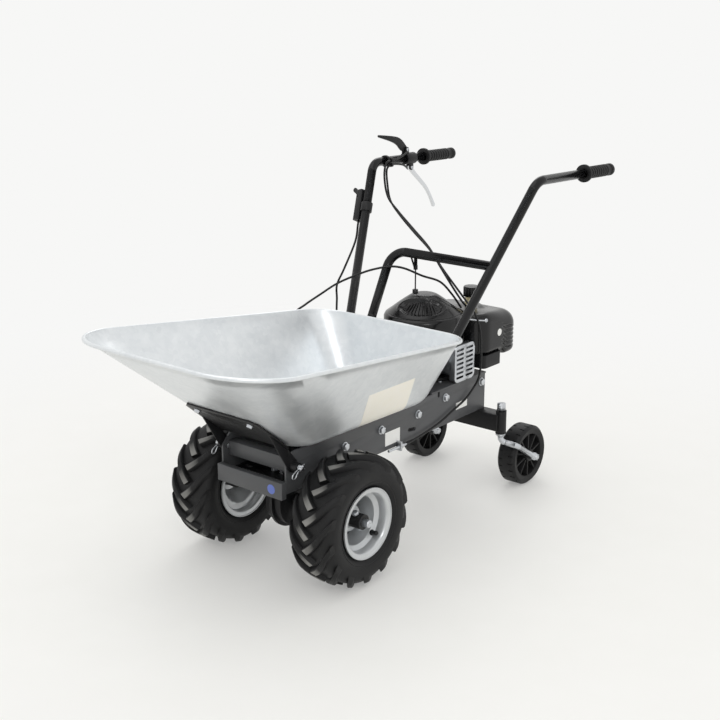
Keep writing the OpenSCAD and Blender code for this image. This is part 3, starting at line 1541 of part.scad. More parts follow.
module castor_wheel_left() {
    color(rubber) place() translate([castor_track / 2, castor_pivot + castor_trail, castor_z]) castor_wheel();
}

module castor_wheel_right() {
    color(rubber) place() translate([-castor_track / 2, castor_pivot + castor_trail, castor_z]) castor_wheel();
}

side_plate_left();
side_plate_right();
front_cross_plate();
front_bar();
gearbox_plate();
engine_deck();
castor_beam();
bushes();
chassis_bolts();
hinge_pins();
r_clips();
handle_left();
handle_right();
handle_brace();
grips();
lever_perch();
throttle_box();
case_left();
case_right();
drive_belt();
engine_crankcase();
engine_cylinder();
muffler();
muffler_guard();
blower_housing();
recoil_cover();
fuel_tank();
fuel_neck();
air_cleaner();
clutch_cable();
stop_cable();
throttle_cable();
cable_stop();
starter_rope();
tray_pan();
tray_cradle();
tray_bolts();
axle_shaft();
worm_wheel();
wheel_hubs();
rim_left();
rim_right();
tyre_left();
tyre_right();
wheel_bolts();
worm_shaft();
driven_pulley();
crankshaft();
drive_pulley();
idler_arm();
castor_fork_left();
castor_fork_right();
castor_wheel_left();
castor_wheel_right();
clutch_lever();
stop_lever();
throttle_lever();
starter_handle();
fuel_cap();
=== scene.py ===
import json
import math
import bmesh
import bpy
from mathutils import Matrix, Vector


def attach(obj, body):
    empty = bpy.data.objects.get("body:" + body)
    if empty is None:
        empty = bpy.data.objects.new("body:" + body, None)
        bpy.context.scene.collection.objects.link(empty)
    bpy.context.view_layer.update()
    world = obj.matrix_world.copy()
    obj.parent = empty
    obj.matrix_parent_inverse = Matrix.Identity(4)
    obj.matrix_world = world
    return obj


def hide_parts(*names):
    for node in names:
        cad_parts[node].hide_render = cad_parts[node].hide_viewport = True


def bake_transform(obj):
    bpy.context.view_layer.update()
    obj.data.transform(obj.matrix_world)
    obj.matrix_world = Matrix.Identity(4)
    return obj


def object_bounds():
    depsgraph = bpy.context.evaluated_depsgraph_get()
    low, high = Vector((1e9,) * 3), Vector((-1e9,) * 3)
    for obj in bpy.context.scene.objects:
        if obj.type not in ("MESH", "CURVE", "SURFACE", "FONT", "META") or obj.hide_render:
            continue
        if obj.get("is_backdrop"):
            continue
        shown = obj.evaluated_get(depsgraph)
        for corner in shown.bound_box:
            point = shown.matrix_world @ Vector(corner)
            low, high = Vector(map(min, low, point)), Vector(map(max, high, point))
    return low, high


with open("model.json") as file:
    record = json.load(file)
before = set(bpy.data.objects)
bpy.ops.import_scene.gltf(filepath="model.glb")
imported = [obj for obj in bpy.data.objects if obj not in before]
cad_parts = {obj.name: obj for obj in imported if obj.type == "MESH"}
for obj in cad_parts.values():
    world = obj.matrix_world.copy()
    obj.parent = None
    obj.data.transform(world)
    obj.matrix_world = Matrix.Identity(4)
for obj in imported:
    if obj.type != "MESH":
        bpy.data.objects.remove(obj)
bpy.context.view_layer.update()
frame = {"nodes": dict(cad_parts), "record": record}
scene = bpy.context.scene
scene.view_settings.view_transform = "Standard"

# Camera: a standing photographer's view of the front left corner, looking a little down.
# The lens is a short telephoto, so the tray keeps its shape.
camera = bpy.data.objects.new("camera", bpy.data.cameras.new("camera"))
camera.data.sensor_width = 36
camera.data.lens = 64.33
camera.location = (2.0363, -2.5050, 1.4179)
look_at = Vector((0.23403, -0.3085, 0.56762))
camera.rotation_euler = (look_at - camera.location).to_track_quat("-Z", "Y").to_euler()
scene.collection.objects.link(camera)
scene.camera = camera


# Studio: a pale painted floor that runs out into a white backdrop.
# Three broad soft lamps stand for the softboxes, and the world for the walls.
def rgb(code):
    parts = [int(code[i : i + 2], 16) / 255 for i in (1, 3, 5)]
    return [p / 12.92 if p <= 0.04045 else ((p + 0.055) / 1.055) ** 2.4 for p in parts] + [1]


def add(tree, kind, inputs=None, **settings):
    node = tree.nodes.new(kind)
    for name, value in settings.items():
        setattr(node, name, value)
    for name, value in (inputs or {}).items():
        if isinstance(value, bpy.types.NodeSocket):
            tree.links.new(value, node.inputs[name])
        else:
            node.inputs[name].default_value = value
    return node


def new_surface(name, **values):
    material = bpy.data.materials.new(name)
    material.use_nodes = True
    shader = material.node_tree.nodes["Principled BSDF"]
    for socket, value in values.items():
        socket_name = socket.replace("_", " ").title().replace("Ior", "IOR")
        shader.inputs[socket_name].default_value = value
    return material, material.node_tree, shader


def new_piece(name, verts, faces, material, smooth_angle=40):
    mesh = bpy.data.meshes.new(name)
    mesh.from_pydata([tuple(v) for v in verts], [], faces)
    mesh.validate()
    mesh.materials.append(material)
    mesh.shade_smooth()
    mesh.set_sharp_from_angle(angle=math.radians(smooth_angle))
    piece = bpy.data.objects.new(name, mesh)
    scene.collection.objects.link(piece)
    return piece


# Floor paint: a dull pale coat with faint scuffs a hand's width across.
# Far from the object it is lost in the white of the backdrop. Near the object it still glows at
# 0.28 of that white to camera and glossy rays, a painted light that lifts the object's shadow.
backdrop_white = rgb("#f7f7f6")
floor_half, floor_drop = 14, 0.0005
haze_start, haze_end, glow_near = 0.55, 2.4, 0.28
floor_paint, tree, shader = new_surface("pale_floor_paint", roughness=0.6)
place = add(tree, "ShaderNodeTexCoord").outputs["Object"]
scuffs = add(tree, "ShaderNodeTexNoise", {"Vector": place, "Scale": 8, "Detail": 5})
tint = add(
    tree, "ShaderNodeMix",
    {"Factor": scuffs.outputs["Fac"], 6: rgb("#f0efea"), 7: rgb("#f5f4f0")}, data_type="RGBA",
)
tree.links.new(tint.outputs[2], shader.inputs["Base Color"])
away = add(tree, "ShaderNodeVectorMath", {0: place}, operation="LENGTH")
fade = add(
    tree, "ShaderNodeMapRange",
    {
        "Value": away.outputs["Value"],
        "From Min": haze_start, "From Max": haze_end, "To Min": glow_near,
    },
    interpolation_type="SMOOTHSTEP",
)
rays = add(tree, "ShaderNodeLightPath")
seen = add(
    tree, "ShaderNodeMath",
    {0: rays.outputs["Is Camera Ray"], 1: rays.outputs["Is Glossy Ray"]}, operation="MAXIMUM",
)
far = add(
    tree, "ShaderNodeMath", {0: fade.outputs["Result"], 1: seen.outputs[0]}, operation="MULTIPLY",
)
# Painted light: the floor glows toward the backdrop white, at 0.28 of it next to the object.
floor_glow = add(tree, "ShaderNodeEmission", {"Color": backdrop_white})
blended = add(
    tree, "ShaderNodeMixShader", {0: far.outputs[0], 1: shader.outputs[0], 2: floor_glow.outputs[0]},
)
tree.links.new(blended.outputs[0], tree.nodes["Material Output"].inputs["Surface"])
floor_corners = [(x * floor_half, y * floor_half) for x, y in ((-1, -1), (1, -1), (1, 1), (-1, 1))]
studio_floor = new_piece(
    "studio_floor", [(x, y, -floor_drop) for x, y in floor_corners], [(0, 1, 2, 3)], floor_paint,
)
studio_floor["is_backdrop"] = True

# World: white walls all round, a little dimmer on dull surfaces than where they are seen
world = bpy.data.worlds.new("studio")
scene.world = world
world.use_nodes = True
tree = world.node_tree
tree.nodes.clear()
rays = add(tree, "ShaderNodeLightPath")
seen = add(
    tree, "ShaderNodeMath",
    {0: rays.outputs["Is Camera Ray"], 1: rays.outputs["Is Transmission Ray"]},
    operation="MAXIMUM",
)
shown = add(
    tree, "ShaderNodeMath",
    {0: seen.outputs[0], 1: rays.outputs["Is Glossy Ray"]}, operation="MAXIMUM",
)
strength = add(
    tree, "ShaderNodeMapRange", {"Value": shown.outputs[0], "To Min": 0.9, "To Max": 1.0},
)
backdrop = add(
    tree, "ShaderNodeBackground",
    {"Color": backdrop_white, "Strength": strength.outputs["Result"]},
)
add(tree, "ShaderNodeOutputWorld", {"Surface": backdrop.outputs[0]})

lamp_aim = Vector((0, 0, 0.4))
for name, stand, size, power in (
    ("ceiling_box", (-0.5, -0.9, 3.4), 2.6, 18),
    ("front_box", (2.9, -2.6, 2.9), 1.1, 22),
    ("rear_box", (-1.8, 2.6, 2.8), 1.6, 14),
):
    lamp = bpy.data.objects.new(name, bpy.data.lights.new(name, "AREA"))
    lamp.data.size = size
    lamp.data.energy = power
    lamp.location = stand
    lamp.rotation_euler = (lamp_aim - lamp.location).to_track_quat("-Z", "Y").to_euler()
    scene.collection.objects.link(lamp)

# Chassis plates: laser-cut and folded steel, powder coated graphite grey, bolted together.
# Each finished piece is its solid with the cut edges eased, as the coat leaves them.
record = frame["record"]
owner = {node: body for body, nodes in record["behaviour"]["bodies"].items() for node in nodes}
merge_gap, flat_angle, edge_angle = 1e-5, math.radians(0.6), math.radians(38)


def stand_for(piece, node):
    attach(piece, owner[node])
    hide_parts(node)


def dress(material, *nodes, ease=0.0, smooth_angle=32):
    for node in nodes:
        piece = bpy.data.objects.new(node + "_finish", frame["nodes"][node].data.copy())
        scene.collection.objects.link(piece)
        piece.data.materials.clear()
        piece.data.materials.append(material)
        build = bmesh.new()
        build.from_mesh(piece.data)
        bmesh.ops.remove_doubles(build, verts=build.verts, dist=merge_gap)
        if ease:
            bmesh.ops.dissolve_limit(
                build, angle_limit=flat_angle, verts=build.verts, edges=build.edges
            )
        build.to_mesh(piece.data)
        build.free()
        if ease:
            bevel = piece.modifiers.new("eased_edges", "BEVEL")
            bevel.width = ease
            bevel.segments = 2
            bevel.limit_method = "ANGLE"
            bevel.angle_limit = edge_angle
            bevel.use_clamp_overlap = True
            shaped = piece.evaluated_get(bpy.context.evaluated_depsgraph_get())
            rounded = bpy.data.meshes.new_from_object(shaped)
            piece.modifiers.clear()
            piece.data = rounded
        piece.data.shade_smooth()
        piece.data.set_sharp_from_angle(angle=math.radians(smooth_angle))
        stand_for(piece, node)


# A surface in two near tones. per_metre counts patches, so 9 is a patch of about 110 mm.
# gloss is the range of roughness, and grain is (pits per metre, detail, strength, depth in m).
def mottled(name, per_metre, detail, dark, light, gloss=None, grain=None, **values):
    material, tree, shader = new_surface(name, **values)
    place = add(tree, "ShaderNodeTexCoord").outputs["Object"]
    patches = add(
        tree, "ShaderNodeTexNoise", {"Vector": place, "Scale": per_metre, "Detail": detail},
    ).outputs["Fac"]
    tint = add(
        tree, "ShaderNodeMix", {"Factor": patches, 6: rgb(dark), 7: rgb(light)}, data_type="RGBA",
    )
    tree.links.new(tint.outputs[2], shader.inputs["Base Color"])
    if gloss:
        rough = add(
            tree, "ShaderNodeMapRange", {"Value": patches, "To Min": gloss[0], "To Max": gloss[1]},
        )
        tree.links.new(rough.outputs["Result"], shader.inputs["Roughness"])
    if grain:
        pits = add(
            tree, "ShaderNodeTexNoise", {"Vector": place, "Scale": grain[0], "Detail": grain[1]},
        )
        bump = add(
            tree, "ShaderNodeBump",
            {"Height": pits.outputs["Fac"], "Strength": grain[2], "Distance": grain[3]},
        )
        tree.links.new(bump.outputs["Normal"], shader.inputs["Normal"])
    return material


# Powder coat: baked polyester with a faint orange peel, drawn a little coarse so that it shows
powder_coat = mottled(
    "powder_coated_steel", 9, 4, "#47484a", "#545557",
    gloss=(0.34, 0.5), grain=(320, 2, 0.25, 0.0004), ior=1.5,
)
dress(
    powder_coat, "side_plate_left", "side_plate_right", "front_bar", "front_cross_plate",
    "engine_deck", ease=0.0009,
)

# Castor beam, tray cradle, gearbox plate and gear case: folded or cast, then painted satin black.
# The coat is thin, and goes a little dull where it was handled.
black_coat = mottled(
    "satin_black_paint", 14, 4, "#101011", "#1b1b1d",
    gloss=(0.3, 0.5), ior=1.5, specular_ior_level=0.32,
)
dress(
    black_coat, "castor_beam", "tray_cradle", "gearbox_plate", "case_left", "case_right",
    ease=0.0009,
)

# Bolts, nuts, pins and spring clips: bright zinc plate over turned and pressed steel.
# The castor forks, the cable adjuster and the silencer guard have the same plate.
# The bath leaves a pale bloom in patches about 17 mm wide.
zinc_plate = mottled(
    "bright_zinc_plate", 60, 4, "#b9bdc2", "#dcdee1", gloss=(0.2, 0.42), metallic=1.0,
)
dress(
    zinc_plate, "chassis_bolts", "tray_bolts", "wheel_bolts", "cable_stop", "muffler_guard",
    "idler_arm", ease=0.0005,
)
dress(zinc_plate, "hinge_pins", "r_clips", "castor_fork_left", "castor_fork_right")

# Handles and brace: bent 25 mm steel tube, bolted to the side plates and clamped at the cross run.
# Gloss paint, sprayed and baked, with slow sags a few centimetres long.
gloss_paint = mottled(
    "gloss_black_paint", 26, 3, "#0b0b0c", "#141416",
    gloss=(0.12, 0.24), ior=1.5, specular_ior_level=0.3,
)
dress(gloss_paint, "handle_left", "handle_right", "handle_brace")

# Grips, castor tyres and belt: moulded black rubber, pushed on or pressed on.
# The skin is dry and grained, with dust in patches a few centimetres wide.
moulded_rubber = mottled(
    "moulded_rubber", 22, 5, "#121213", "#1f1f20",
    gloss=(0.42, 0.62), grain=(260, 3, 0.3, 0.0005), ior=1.5, specular_ior_level=0.3,
)
dress(
    moulded_rubber, "grips", "castor_wheel_left", "castor_wheel_right", "drive_belt", ease=0.0007,
)

# Lever perch, stop lever, throttle, air cleaner, bushes and starter grip: black mouldings.
# Glass-filled nylon from a spark-eroded mould, whose fine pits are drawn coarse enough to show.
nylon = mottled(
    "glass_filled_nylon", 30, 3, "#0d0d0e", "#18181a",
    gloss=(0.38, 0.55), grain=(420, 2, 0.25, 0.0003), ior=1.53, specular_ior_level=0.3,
)
dress(nylon, "lever_perch", "stop_lever", "throttle_box", "air_cleaner", ease=0.0006)
dress(nylon, "bushes", "starter_handle")

# Cast alloy: the finned cylinder, the silencer and the clutch lever.
# The lever is polished, the others keep the 4 mm grain of the mould.
cast_alloy = mottled(
    "cast_aluminium", 240, 4, "#8e9194", "#b4b7ba",
    grain=(240, 4, 0.4, 0.0006), metallic=1.0, roughness=0.48,
)
dress(cast_alloy, "engine_cylinder", "muffler", ease=0.0006)
polished, tree, shader = new_surface("polished_aluminium", metallic=1.0)
place = add(tree, "ShaderNodeTexCoord").outputs["Object"]
buffing = add(tree, "ShaderNodeTexNoise", {"Vector": place, "Scale": 90, "Detail": 3})
gloss = add(
    tree, "ShaderNodeMapRange", {"Value": buffing.outputs["Fac"], "To Min": 0.14, "To Max": 0.28},
)
shader.inputs["Base Color"].default_value = rgb("#d9dbdd")
tree.links.new(gloss.outputs["Result"], shader.inputs["Roughness"])
dress(polished, "clutch_lever", ease=0.0012)

# Shafts and the drive pulley: turned steel with a thin film of oil, keyed together.
# The worm wheel is plain bronze, shrunk on the axle inside its case.
turned_steel = mottled(
    "turned_steel", 150, 3, "#6f7275", "#a2a5a8", metallic=1.0, roughness=0.34,
)
dress(turned_steel, "axle_shaft", "worm_shaft", "crankshaft", "drive_pulley")
bronze = mottled("plain_bronze", 70, 4, "#8a6530", "#b98f4c", metallic=1.0, roughness=0.38)
dress(bronze, "worm_wheel")

# Engine: a cast block bolted to the deck, under a shroud, a starter dome and a tank.
# The covers are glossy black mouldings with faint flow marks, the filler neck is cream.
# The block's paint lies thin over the 5 mm grain of the casting.
engine_plastic = mottled(
    "glossy_abs", 18, 4, "#0a0a0b", "#141415",
    gloss=(0.14, 0.28), ior=1.52, specular_ior_level=0.36,
)
dress(engine_plastic, "blower_housing", "fuel_cap", ease=0.0012)
block_paint = mottled(
    "engine_block_paint", 200, 4, "#141415", "#1f1f20",
    grain=(200, 4, 0.4, 0.0006), ior=1.5, specular_ior_level=0.35, roughness=0.5,
)
dress(block_paint, "engine_crankcase", ease=0.0012)
dress(block_paint, "wheel_hubs", "driven_pulley")
neck_plastic = mottled(
    "cream_polyethylene", 60, 3, "#dccf9e", "#ebe2bd", ior=1.52, roughness=0.4,
)
dress(neck_plastic, "fuel_neck", ease=0.0008)

# Starter dome: a moulded cover that drops into the top of the shroud, over the recoil starter.
# A scooped window with cooling slots faces the front, and a boss leads the rope out.
# Places from here on are in mm from the ground under the axle, and spot() turns them to the frame.
plan_middle = 308.5


def spot(x, y, z):
    return Vector((x, y - plan_middle, z)) / 1000


def smooth_line(points, steps):
    line = []
    for i in range(len(points) - 1):
        a, b = points[max(i - 1, 0)], points[i]
        c, d = points[i + 1], points[min(i + 2, len(points) - 1)]
        bend, twist = 2 * a - 5 * b + 4 * c - d, 3 * b - a - 3 * c + d
        for s in range(steps):
            t = s / steps
            line.append(0.5 * (2 * b + (c - a) * t + bend * t * t + twist * t**3))
    return line + [points[-1]]


# Faces of columns that stand in a ring: shut joins each column's ends, otherwise two lids are added
def wrap(around, deep, shut=False):
    columns = [(i * deep, (i + 1) % around * deep) for i in range(around)]
    runs = [(k, (k + 1) % deep) for k in range(deep if shut else deep - 1)]
    faces = [(a + k, b + k, b + m, a + m) for a, b in columns for k, m in runs]
    if not shut:
        faces.append(tuple(a for a, _ in columns)[::-1])
        faces.append(tuple(a + deep - 1 for a, _ in columns))
    return faces


def lathe(profile, segments):
    verts = []
    for i in range(segments):
        turn = 2 * math.pi * i / segments
        verts += [Vector((r * math.cos(turn), r * math.sin(turn), z)) for r, z in profile]
    return verts


def turned(profile, foot, axis, segments=24):
    verts = lathe([(max(r, 1e-5) / 1000, z / 1000) for r, z in profile], segments)
    stance = axis.to_track_quat("Z", "Y").to_matrix()
    return [foot + stance @ v for v in verts], wrap(segments, len(profile))


def join(name, shapes, material, body, smooth_angle=40):
    verts, faces = [], []
    for shape_verts, shape_faces in shapes:
        faces += [tuple(len(verts) + k for k in face) for face in shape_faces]
        verts += shape_verts
    piece = new_piece(name, verts, faces, material, smooth_angle)
    build = bmesh.new()
    build.from_mesh(piece.data)
    bmesh.ops.remove_doubles(build, verts=build.verts, dist=2e-5)
    bmesh.ops.recalc_face_normals(build, faces=build.faces)
    build.to_mesh(piece.data)
    build.free()
    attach(piece, body)
    return piece


def ease_step(low, high, value):
    t = min(max((value - low) / (high - low), 0), 1)
    return t * t * (3 - 2 * t)


crank_x, crank_y, dome_low, dome_segments = -20, 590, 524, 720
dome_profile = (
    (102, 0), (101.5, 2), (98, 4.2), (86, 13.5), (72, 24.5), (56, 36), (42, 45.5), (35, 49.3),
    (28, 51.6), (20, 52.4), (8, 52.6), (0.05, 52.6),
)
dome_line = smooth_line([Vector(p) for p in dome_profile], 5)
window_turn, window_half, window_in = math.radians(-63), math.radians(58), 6.5
window_foot_r, window_run, window_high = 96, 58, 0.42
lip_up, lip_place = 1.4, 1.08
slot_pitch, slot_half, slot_in = math.radians(8), math.radians(2.1), 4.0
verts = []
for i in range(dome_segments):
    turn = 2 * math.pi * i / dome_segments
    off = (turn - window_turn + math.pi) % (2 * math.pi) - math.pi
    to_slot = abs((off + slot_pitch / 2) % slot_pitch - slot_pitch / 2)
    for k, point in enumerate(dome_line):
        ahead, behind = dome_line[min(k + 1, len(dome_line) - 1)], dome_line[max(k - 1, 0)]
        run = (ahead - behind).normalized()
        rise = (window_foot_r - point.x) / window_run
        # edge is 0 in the middle of the window and 1 on its rim
        edge = math.sqrt((off / window_half) ** 2 + ((rise - 0.5) / window_high) ** 2)
        depth = window_in * (1 - ease_step(0.84, 1.0, edge))
        depth -= lip_up * (1 - ease_step(0.03, 0.1, abs(edge - lip_place)))
        if edge < 0.78:
            in_slot = 1 - ease_step(0.7, 1.3, to_slot / slot_half)
            depth += slot_in * in_slot * (1 - ease_step(0.68, 0.76, edge))
        r, z = point.x - run.y * depth, point.y + run.x * depth
        x, y = crank_x + r * math.cos(turn), crank_y + r * math.sin(turn)
        verts.append(spot(x, y, dome_low + z))
rope_x, rope_y, boss_z = -47, 584, 580
boss_profile = [(8, -9), (8, 3.2), (7.2, 4), (3.4, 4), (2.6, 3), (2.6, 0), (0, 0)]
rope_boss = turned(boss_profile, spot(rope_x, rope_y, boss_z), Vector((0, 0, 1)), 40)
dome = join(
    "starter_dome", [(verts, wrap(dome_segments, len(dome_line))), rope_boss], engine_plastic,
    "chassis", 50,
)
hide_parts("recoil_cover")


# Throttle lever: a flat moulded paddle on a cross pin, pushed up by the thumb.
# It has the nylon of its box, and its edges are rounded over.
def stack(layers, wide):
    faces = []
    for i in range(layers - 1):
        for k in range(wide):
            a, b = i * wide + k, i * wide + (k + 1) % wide
            faces.append((a, b, b + wide, a + wide))
    return faces + [tuple(range(wide))[::-1], tuple(range((layers - 1) * wide, layers * wide))]


pivot, lever_turn = spot(-280.98, 633.55, 807.36), math.radians(43)
pin_r, pin_half = 2.4, 12
pin_run = Vector((-0.246235, -0.870071, 0.427019)).normalized()
handle_run = Vector((-0.2065, 0.478, 0.854)).normalized()
outward = pin_run.cross(handle_run).normalized()
paddle_run = outward * math.cos(lever_turn) + handle_run * math.sin(lever_turn)
paddle_side = paddle_run.cross(pin_run)
half_outline = [
    (-7, 0), (-6, 3.6), (-3.5, 6), (0, 7), (6, 6), (14, 4.6), (32, 5), (40, 6.2), (46, 6.2),
    (49, 4.8), (50, 2.2),
]
outline = half_outline + [(a, -b) for a, b in half_outline[:0:-1]]
paddle_layers = ((-3, 0.86), (-2.2, 1), (2.2, 1), (3, 0.86))
verts = [
    pivot + (paddle_run * a + paddle_side * b * shrink + pin_run * layer) / 1000
    for layer, shrink in paddle_layers for a, b in outline
]
paddle = (verts, stack(len(paddle_layers), len(outline)))
lever_pin = turned([(pin_r, -pin_half), (pin_r, pin_half)], pivot, pin_run)
lever = join(
    "throttle_paddle", [paddle, lever_pin], nylon,
    owner["throttle_lever"],
)
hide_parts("throttle_lever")

# Fuel tank: a blow-moulded shell hollowed round the shroud and strapped to the crankcase bracket.
# Its top falls to the rear, ribs stiffen the rear walls, and a low boss carries the filler neck.
tank_left, tank_right, tank_front, tank_rear, tank_corner = 132.0, -116.0, 650.0, 846.0, 46.0
tank_high, top_fall, tank_low, lobe_drop = 520, 13, 403, 17
neck_place, neck_high, neck_r, skirt_r = Vector((26, 752)), 520.4, 26, 44
low_r, top_r_front, top_r_gain = 16.0, 22, 18
rib_pitch, rib_in, rib_share, rib_start = 12.0, 3.0, 0.42, 414
shroud_r, hollow_low, hollow_deep = 112.3, 360, 200
floor_rings, low_steps, wall_rings, top_steps, top_rings, corner_steps = 8, 6, 48, 8, 16, 12


def tank_top(x, y):
    plain = tank_high - top_fall * ease_step(690, 840, y)
    from_neck = (Vector((x, y)) - neck_place).length
    return plain + (neck_high - plain) * (1 - ease_step(neck_r, skirt_r, from_neck))


def tank_bottom(y):
    return tank_low - lobe_drop * ease_step(760, 778, y)


def facing(degrees):
    return Vector((math.cos(math.radians(degrees)), math.sin(math.radians(degrees))))


tank_line = []
corner_left, corner_right = tank_left - tank_corner, tank_right + tank_corner
corner_front, corner_rear = tank_front + tank_corner, tank_rear - tank_corner
corner_mid = [
    (corner_left, corner_rear, 0), (corner_right, corner_rear, 90),
    (corner_right, corner_front, 180), (corner_left, corner_front, 270),
]
for i, (x, y, start) in enumerate(corner_mid):
    for k in range(corner_steps + 1):
        n = facing(start + 90 * k / corner_steps)
        tank_line.append((Vector((x, y)) + n * tank_corner, n))
    ahead = corner_mid[(i + 1) % 4]
    n = facing(ahead[2])
    a, b = Vector((x, y)) + n * tank_corner, Vector(ahead[:2]) + n * tank_corner
    tank_line += [(a.lerp(b, k / corner_steps), n) for k in range(1, corner_steps)]
tank_middle = Vector(((tank_left + tank_right) / 2, (tank_front + tank_rear) / 2))
verts = []
for p, n in tank_line:
    top_r = top_r_front + top_r_gain * ease_step(700, 830, p.y)
    low, high = tank_bottom(p.y) + low_r, tank_top(p.x, p.y) - top_r
    column = []
    for k in range(1, floor_rings + 1):
        q = tank_middle.lerp(p - n * low_r, k / floor_rings if k > 1 else 0.02)
        column.append((q.x, q.y, tank_bottom(q.y)))
    for k in range(1, low_steps + 1):
        turn = math.radians(90 / low_steps * k)
        q = p - n * low_r * (1 - math.sin(turn))
        column.append((q.x, q.y, tank_bottom(q.y) + low_r * (1 - math.cos(turn))))
    for k in range(1, wall_rings):
        z = low + (high - low) * k / wall_rings
        beat = abs((z - rib_start) / rib_pitch % 1 - 0.5)
        groove = rib_in * (1 - ease_step(rib_share / 2 - 0.07, rib_share / 2 + 0.07, beat))
        groove *= ease_step(756, 764, p.y) * ease_step(low, low + 5, z)
        groove *= 1 - ease_step(high - 5, high, z)
        q = p - n * groove
        column.append((q.x, q.y, z))
    for k in range(top_steps + 1):
        turn = math.radians(90 - 90 / top_steps * k)
        q = p - n * top_r * (1 - math.sin(turn))
        column.append((q.x, q.y, tank_top(q.x, q.y) - top_r * (1 - math.cos(turn))))
    for k in range(1, top_rings + 1):
        q = (p - n * top_r).lerp(tank_middle, k / top_rings if k < top_rings else 0.98)
        column.append((q.x, q.y, tank_top(q.x, q.y)))
    verts += [spot(*c) for c in column]
tank = new_piece("tank_shell", verts, wrap(len(tank_line), len(column)), engine_plastic)
shroud_room = turned(
    [(shroud_r, 0), (shroud_r, hollow_deep)], spot(crank_x, crank_y, hollow_low),
    Vector((0, 0, 1)), 128,
)
hollow = new_piece("hollow", *shroud_room, engine_plastic)
carve = tank.modifiers.new("hollow", "BOOLEAN")
carve.object = hollow
carve.operation = "DIFFERENCE"
carve.solver = "EXACT"
shaped = tank.evaluated_get(bpy.context.evaluated_depsgraph_get())
carved = bpy.data.meshes.new_from_object(shaped)
tank.modifiers.clear()
tank.data = carved
bpy.data.objects.remove(hollow)
tank.data.shade_smooth()
tank.data.set_sharp_from_angle(angle=math.radians(45))
stand_for(tank, "fuel_tank")


# Control cables: steel inner wires in black plastic-coated casings, clipped at the levers.
# They follow the same points as the solids, as one smooth tube each.
def tube(line, radius, sides):
    verts = []
    across = Vector((0.31, 0.52, 0.79))
    for i, point in enumerate(line):
        run = (line[min(i + 1, len(line) - 1)] - line[max(i - 1, 0)]).normalized()
        across = (across - run * across.dot(run)).normalized()
        up = run.cross(across)
        for k in range(sides):
            turn = 2 * math.pi * k / sides
            verts.append(point + radius * (across * math.cos(turn) + up * math.sin(turn)))
    return verts, stack(len(line), sides)


casing = mottled(
    "pvc_casing", 45, 3, "#0d0d0e", "#171718",
    gloss=(0.3, 0.46), ior=1.52, specular_ior_level=0.3,
)
casing_r, casing_sides = 0.003, 12
cable_routes = {
    "clutch_cable": [
        (-265, 826, 874), (-256, 796, 886), (-252, 758, 893), (-252, 735, 893), (-252, 714, 882),
        (-251, 716, 840), (-244, 722, 792), (-204, 715, 755), (-139, 697, 716), (-66, 676, 677),
        (0, 657, 627), (74, 640, 572), (120, 632, 534), (138, 634, 490), (140, 638, 440),
        (139, 642, 390), (130, 645, 346), (118, 638, 316), (116, 604, 293), (116, 546, 275),
        (116, 491, 258), (116, 423, 246), (116, 357, 239), (116, 334, 238),
    ],
    "stop_cable": [
        (-262, 822, 921), (-256, 796, 914), (-252, 762, 907.5), (-252, 735, 907), (-251, 708, 898),
        (-248, 698, 860), (-238, 702, 806), (-200, 700, 770), (-134, 684, 730), (-62, 664, 688),
        (-6, 646, 640), (34, 652, 586), (50, 674, 546), (54, 700, 522.6),
    ],
    "throttle_cable": [
        (-266.1, 605.6, 759), (-263.6, 599.7, 748.5), (-261, 593.8, 737.9), (-264, 585, 689),
        (-276, 550, 615), (-286, 530, 570), (-290, 534, 524), (-294, 530, 470), (-300, 490, 430),
        (-302, 430, 430), (-304, 385, 468), (-300, 366, 516), (-280, 386, 541), (-256, 426, 568),
        (-214, 450, 601), (-160, 480, 630), (-123, 498, 645), (-84, 520, 654), (-56, 546, 648),
        (-22, 582, 626), (8, 624, 606), (24, 660, 566), (32, 694, 522.4),
    ],
}
for node, route in cable_routes.items():
    verts, faces = tube(smooth_line([spot(*p) for p in route], 6), casing_r, casing_sides)
    stand_for(new_piece(node + "_casing", verts, faces, casing), node)

# Starter rope: a braided cord from the dome up through the guide on the brace to its grip.
# The real cord is drawn out by the grip when the engine is started; here it is one straight cord,
# fixed in place and carried by no body.
rope_weave, tree, shader = new_surface("braided_cord", roughness=0.8)
place = add(tree, "ShaderNodeTexCoord").outputs["Object"]
braid = add(tree, "ShaderNodeTexWave", {"Vector": place, "Scale": 300, "Distortion": 2})
tint = add(
    tree, "ShaderNodeMix",
    {"Factor": braid.outputs["Fac"], 6: rgb("#101011"), 7: rgb("#303033")}, data_type="RGBA",
)
tree.links.new(tint.outputs[2], shader.inputs["Base Color"])
rope_r, rope_sides, rope_steps = 0.002, 10, 24
rope_foot, rope_head = spot(rope_x, rope_y, 568), spot(rope_x, rope_y, 652.5)
rope_line = [rope_foot.lerp(rope_head, i / rope_steps) for i in range(rope_steps + 1)]
rope = new_piece("starter_cord", *tube(rope_line, rope_r, rope_sides), rope_weave)
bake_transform(rope)
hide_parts("starter_rope")

# Tray: one deep-drawn sheet, hot-dip galvanised, with its edge rolled over a wire.
# The zinc leaves soft pale and dull clouds, and the draw leaves faint waves in the walls.
# Clouds are about 90 mm wide, the spangle 12 mm and the waves 60 mm.
galvanised, tree, shader = new_surface("galvanised_sheet", metallic=0.68)
place = add(tree, "ShaderNodeTexCoord").outputs["Object"]
clouds = add(
    tree, "ShaderNodeTexNoise", {"Vector": place, "Scale": 11, "Detail": 6, "Roughness": 0.6},
)
spangle = add(tree, "ShaderNodeTexVoronoi", {"Vector": place, "Scale": 85})
waves = add(tree, "ShaderNodeTexNoise", {"Vector": place, "Scale": 16, "Detail": 2})
tone = add(
    tree, "ShaderNodeMix",
    {"Factor": 0.22, "A": clouds.outputs["Fac"], "B": spangle.outputs["Color"]}, data_type="FLOAT",
).outputs["Result"]
tint = add(
    tree, "ShaderNodeMix", {"Factor": tone, 6: rgb("#cfd4d8"), 7: rgb("#f6f8f9")}, data_type="RGBA",
)
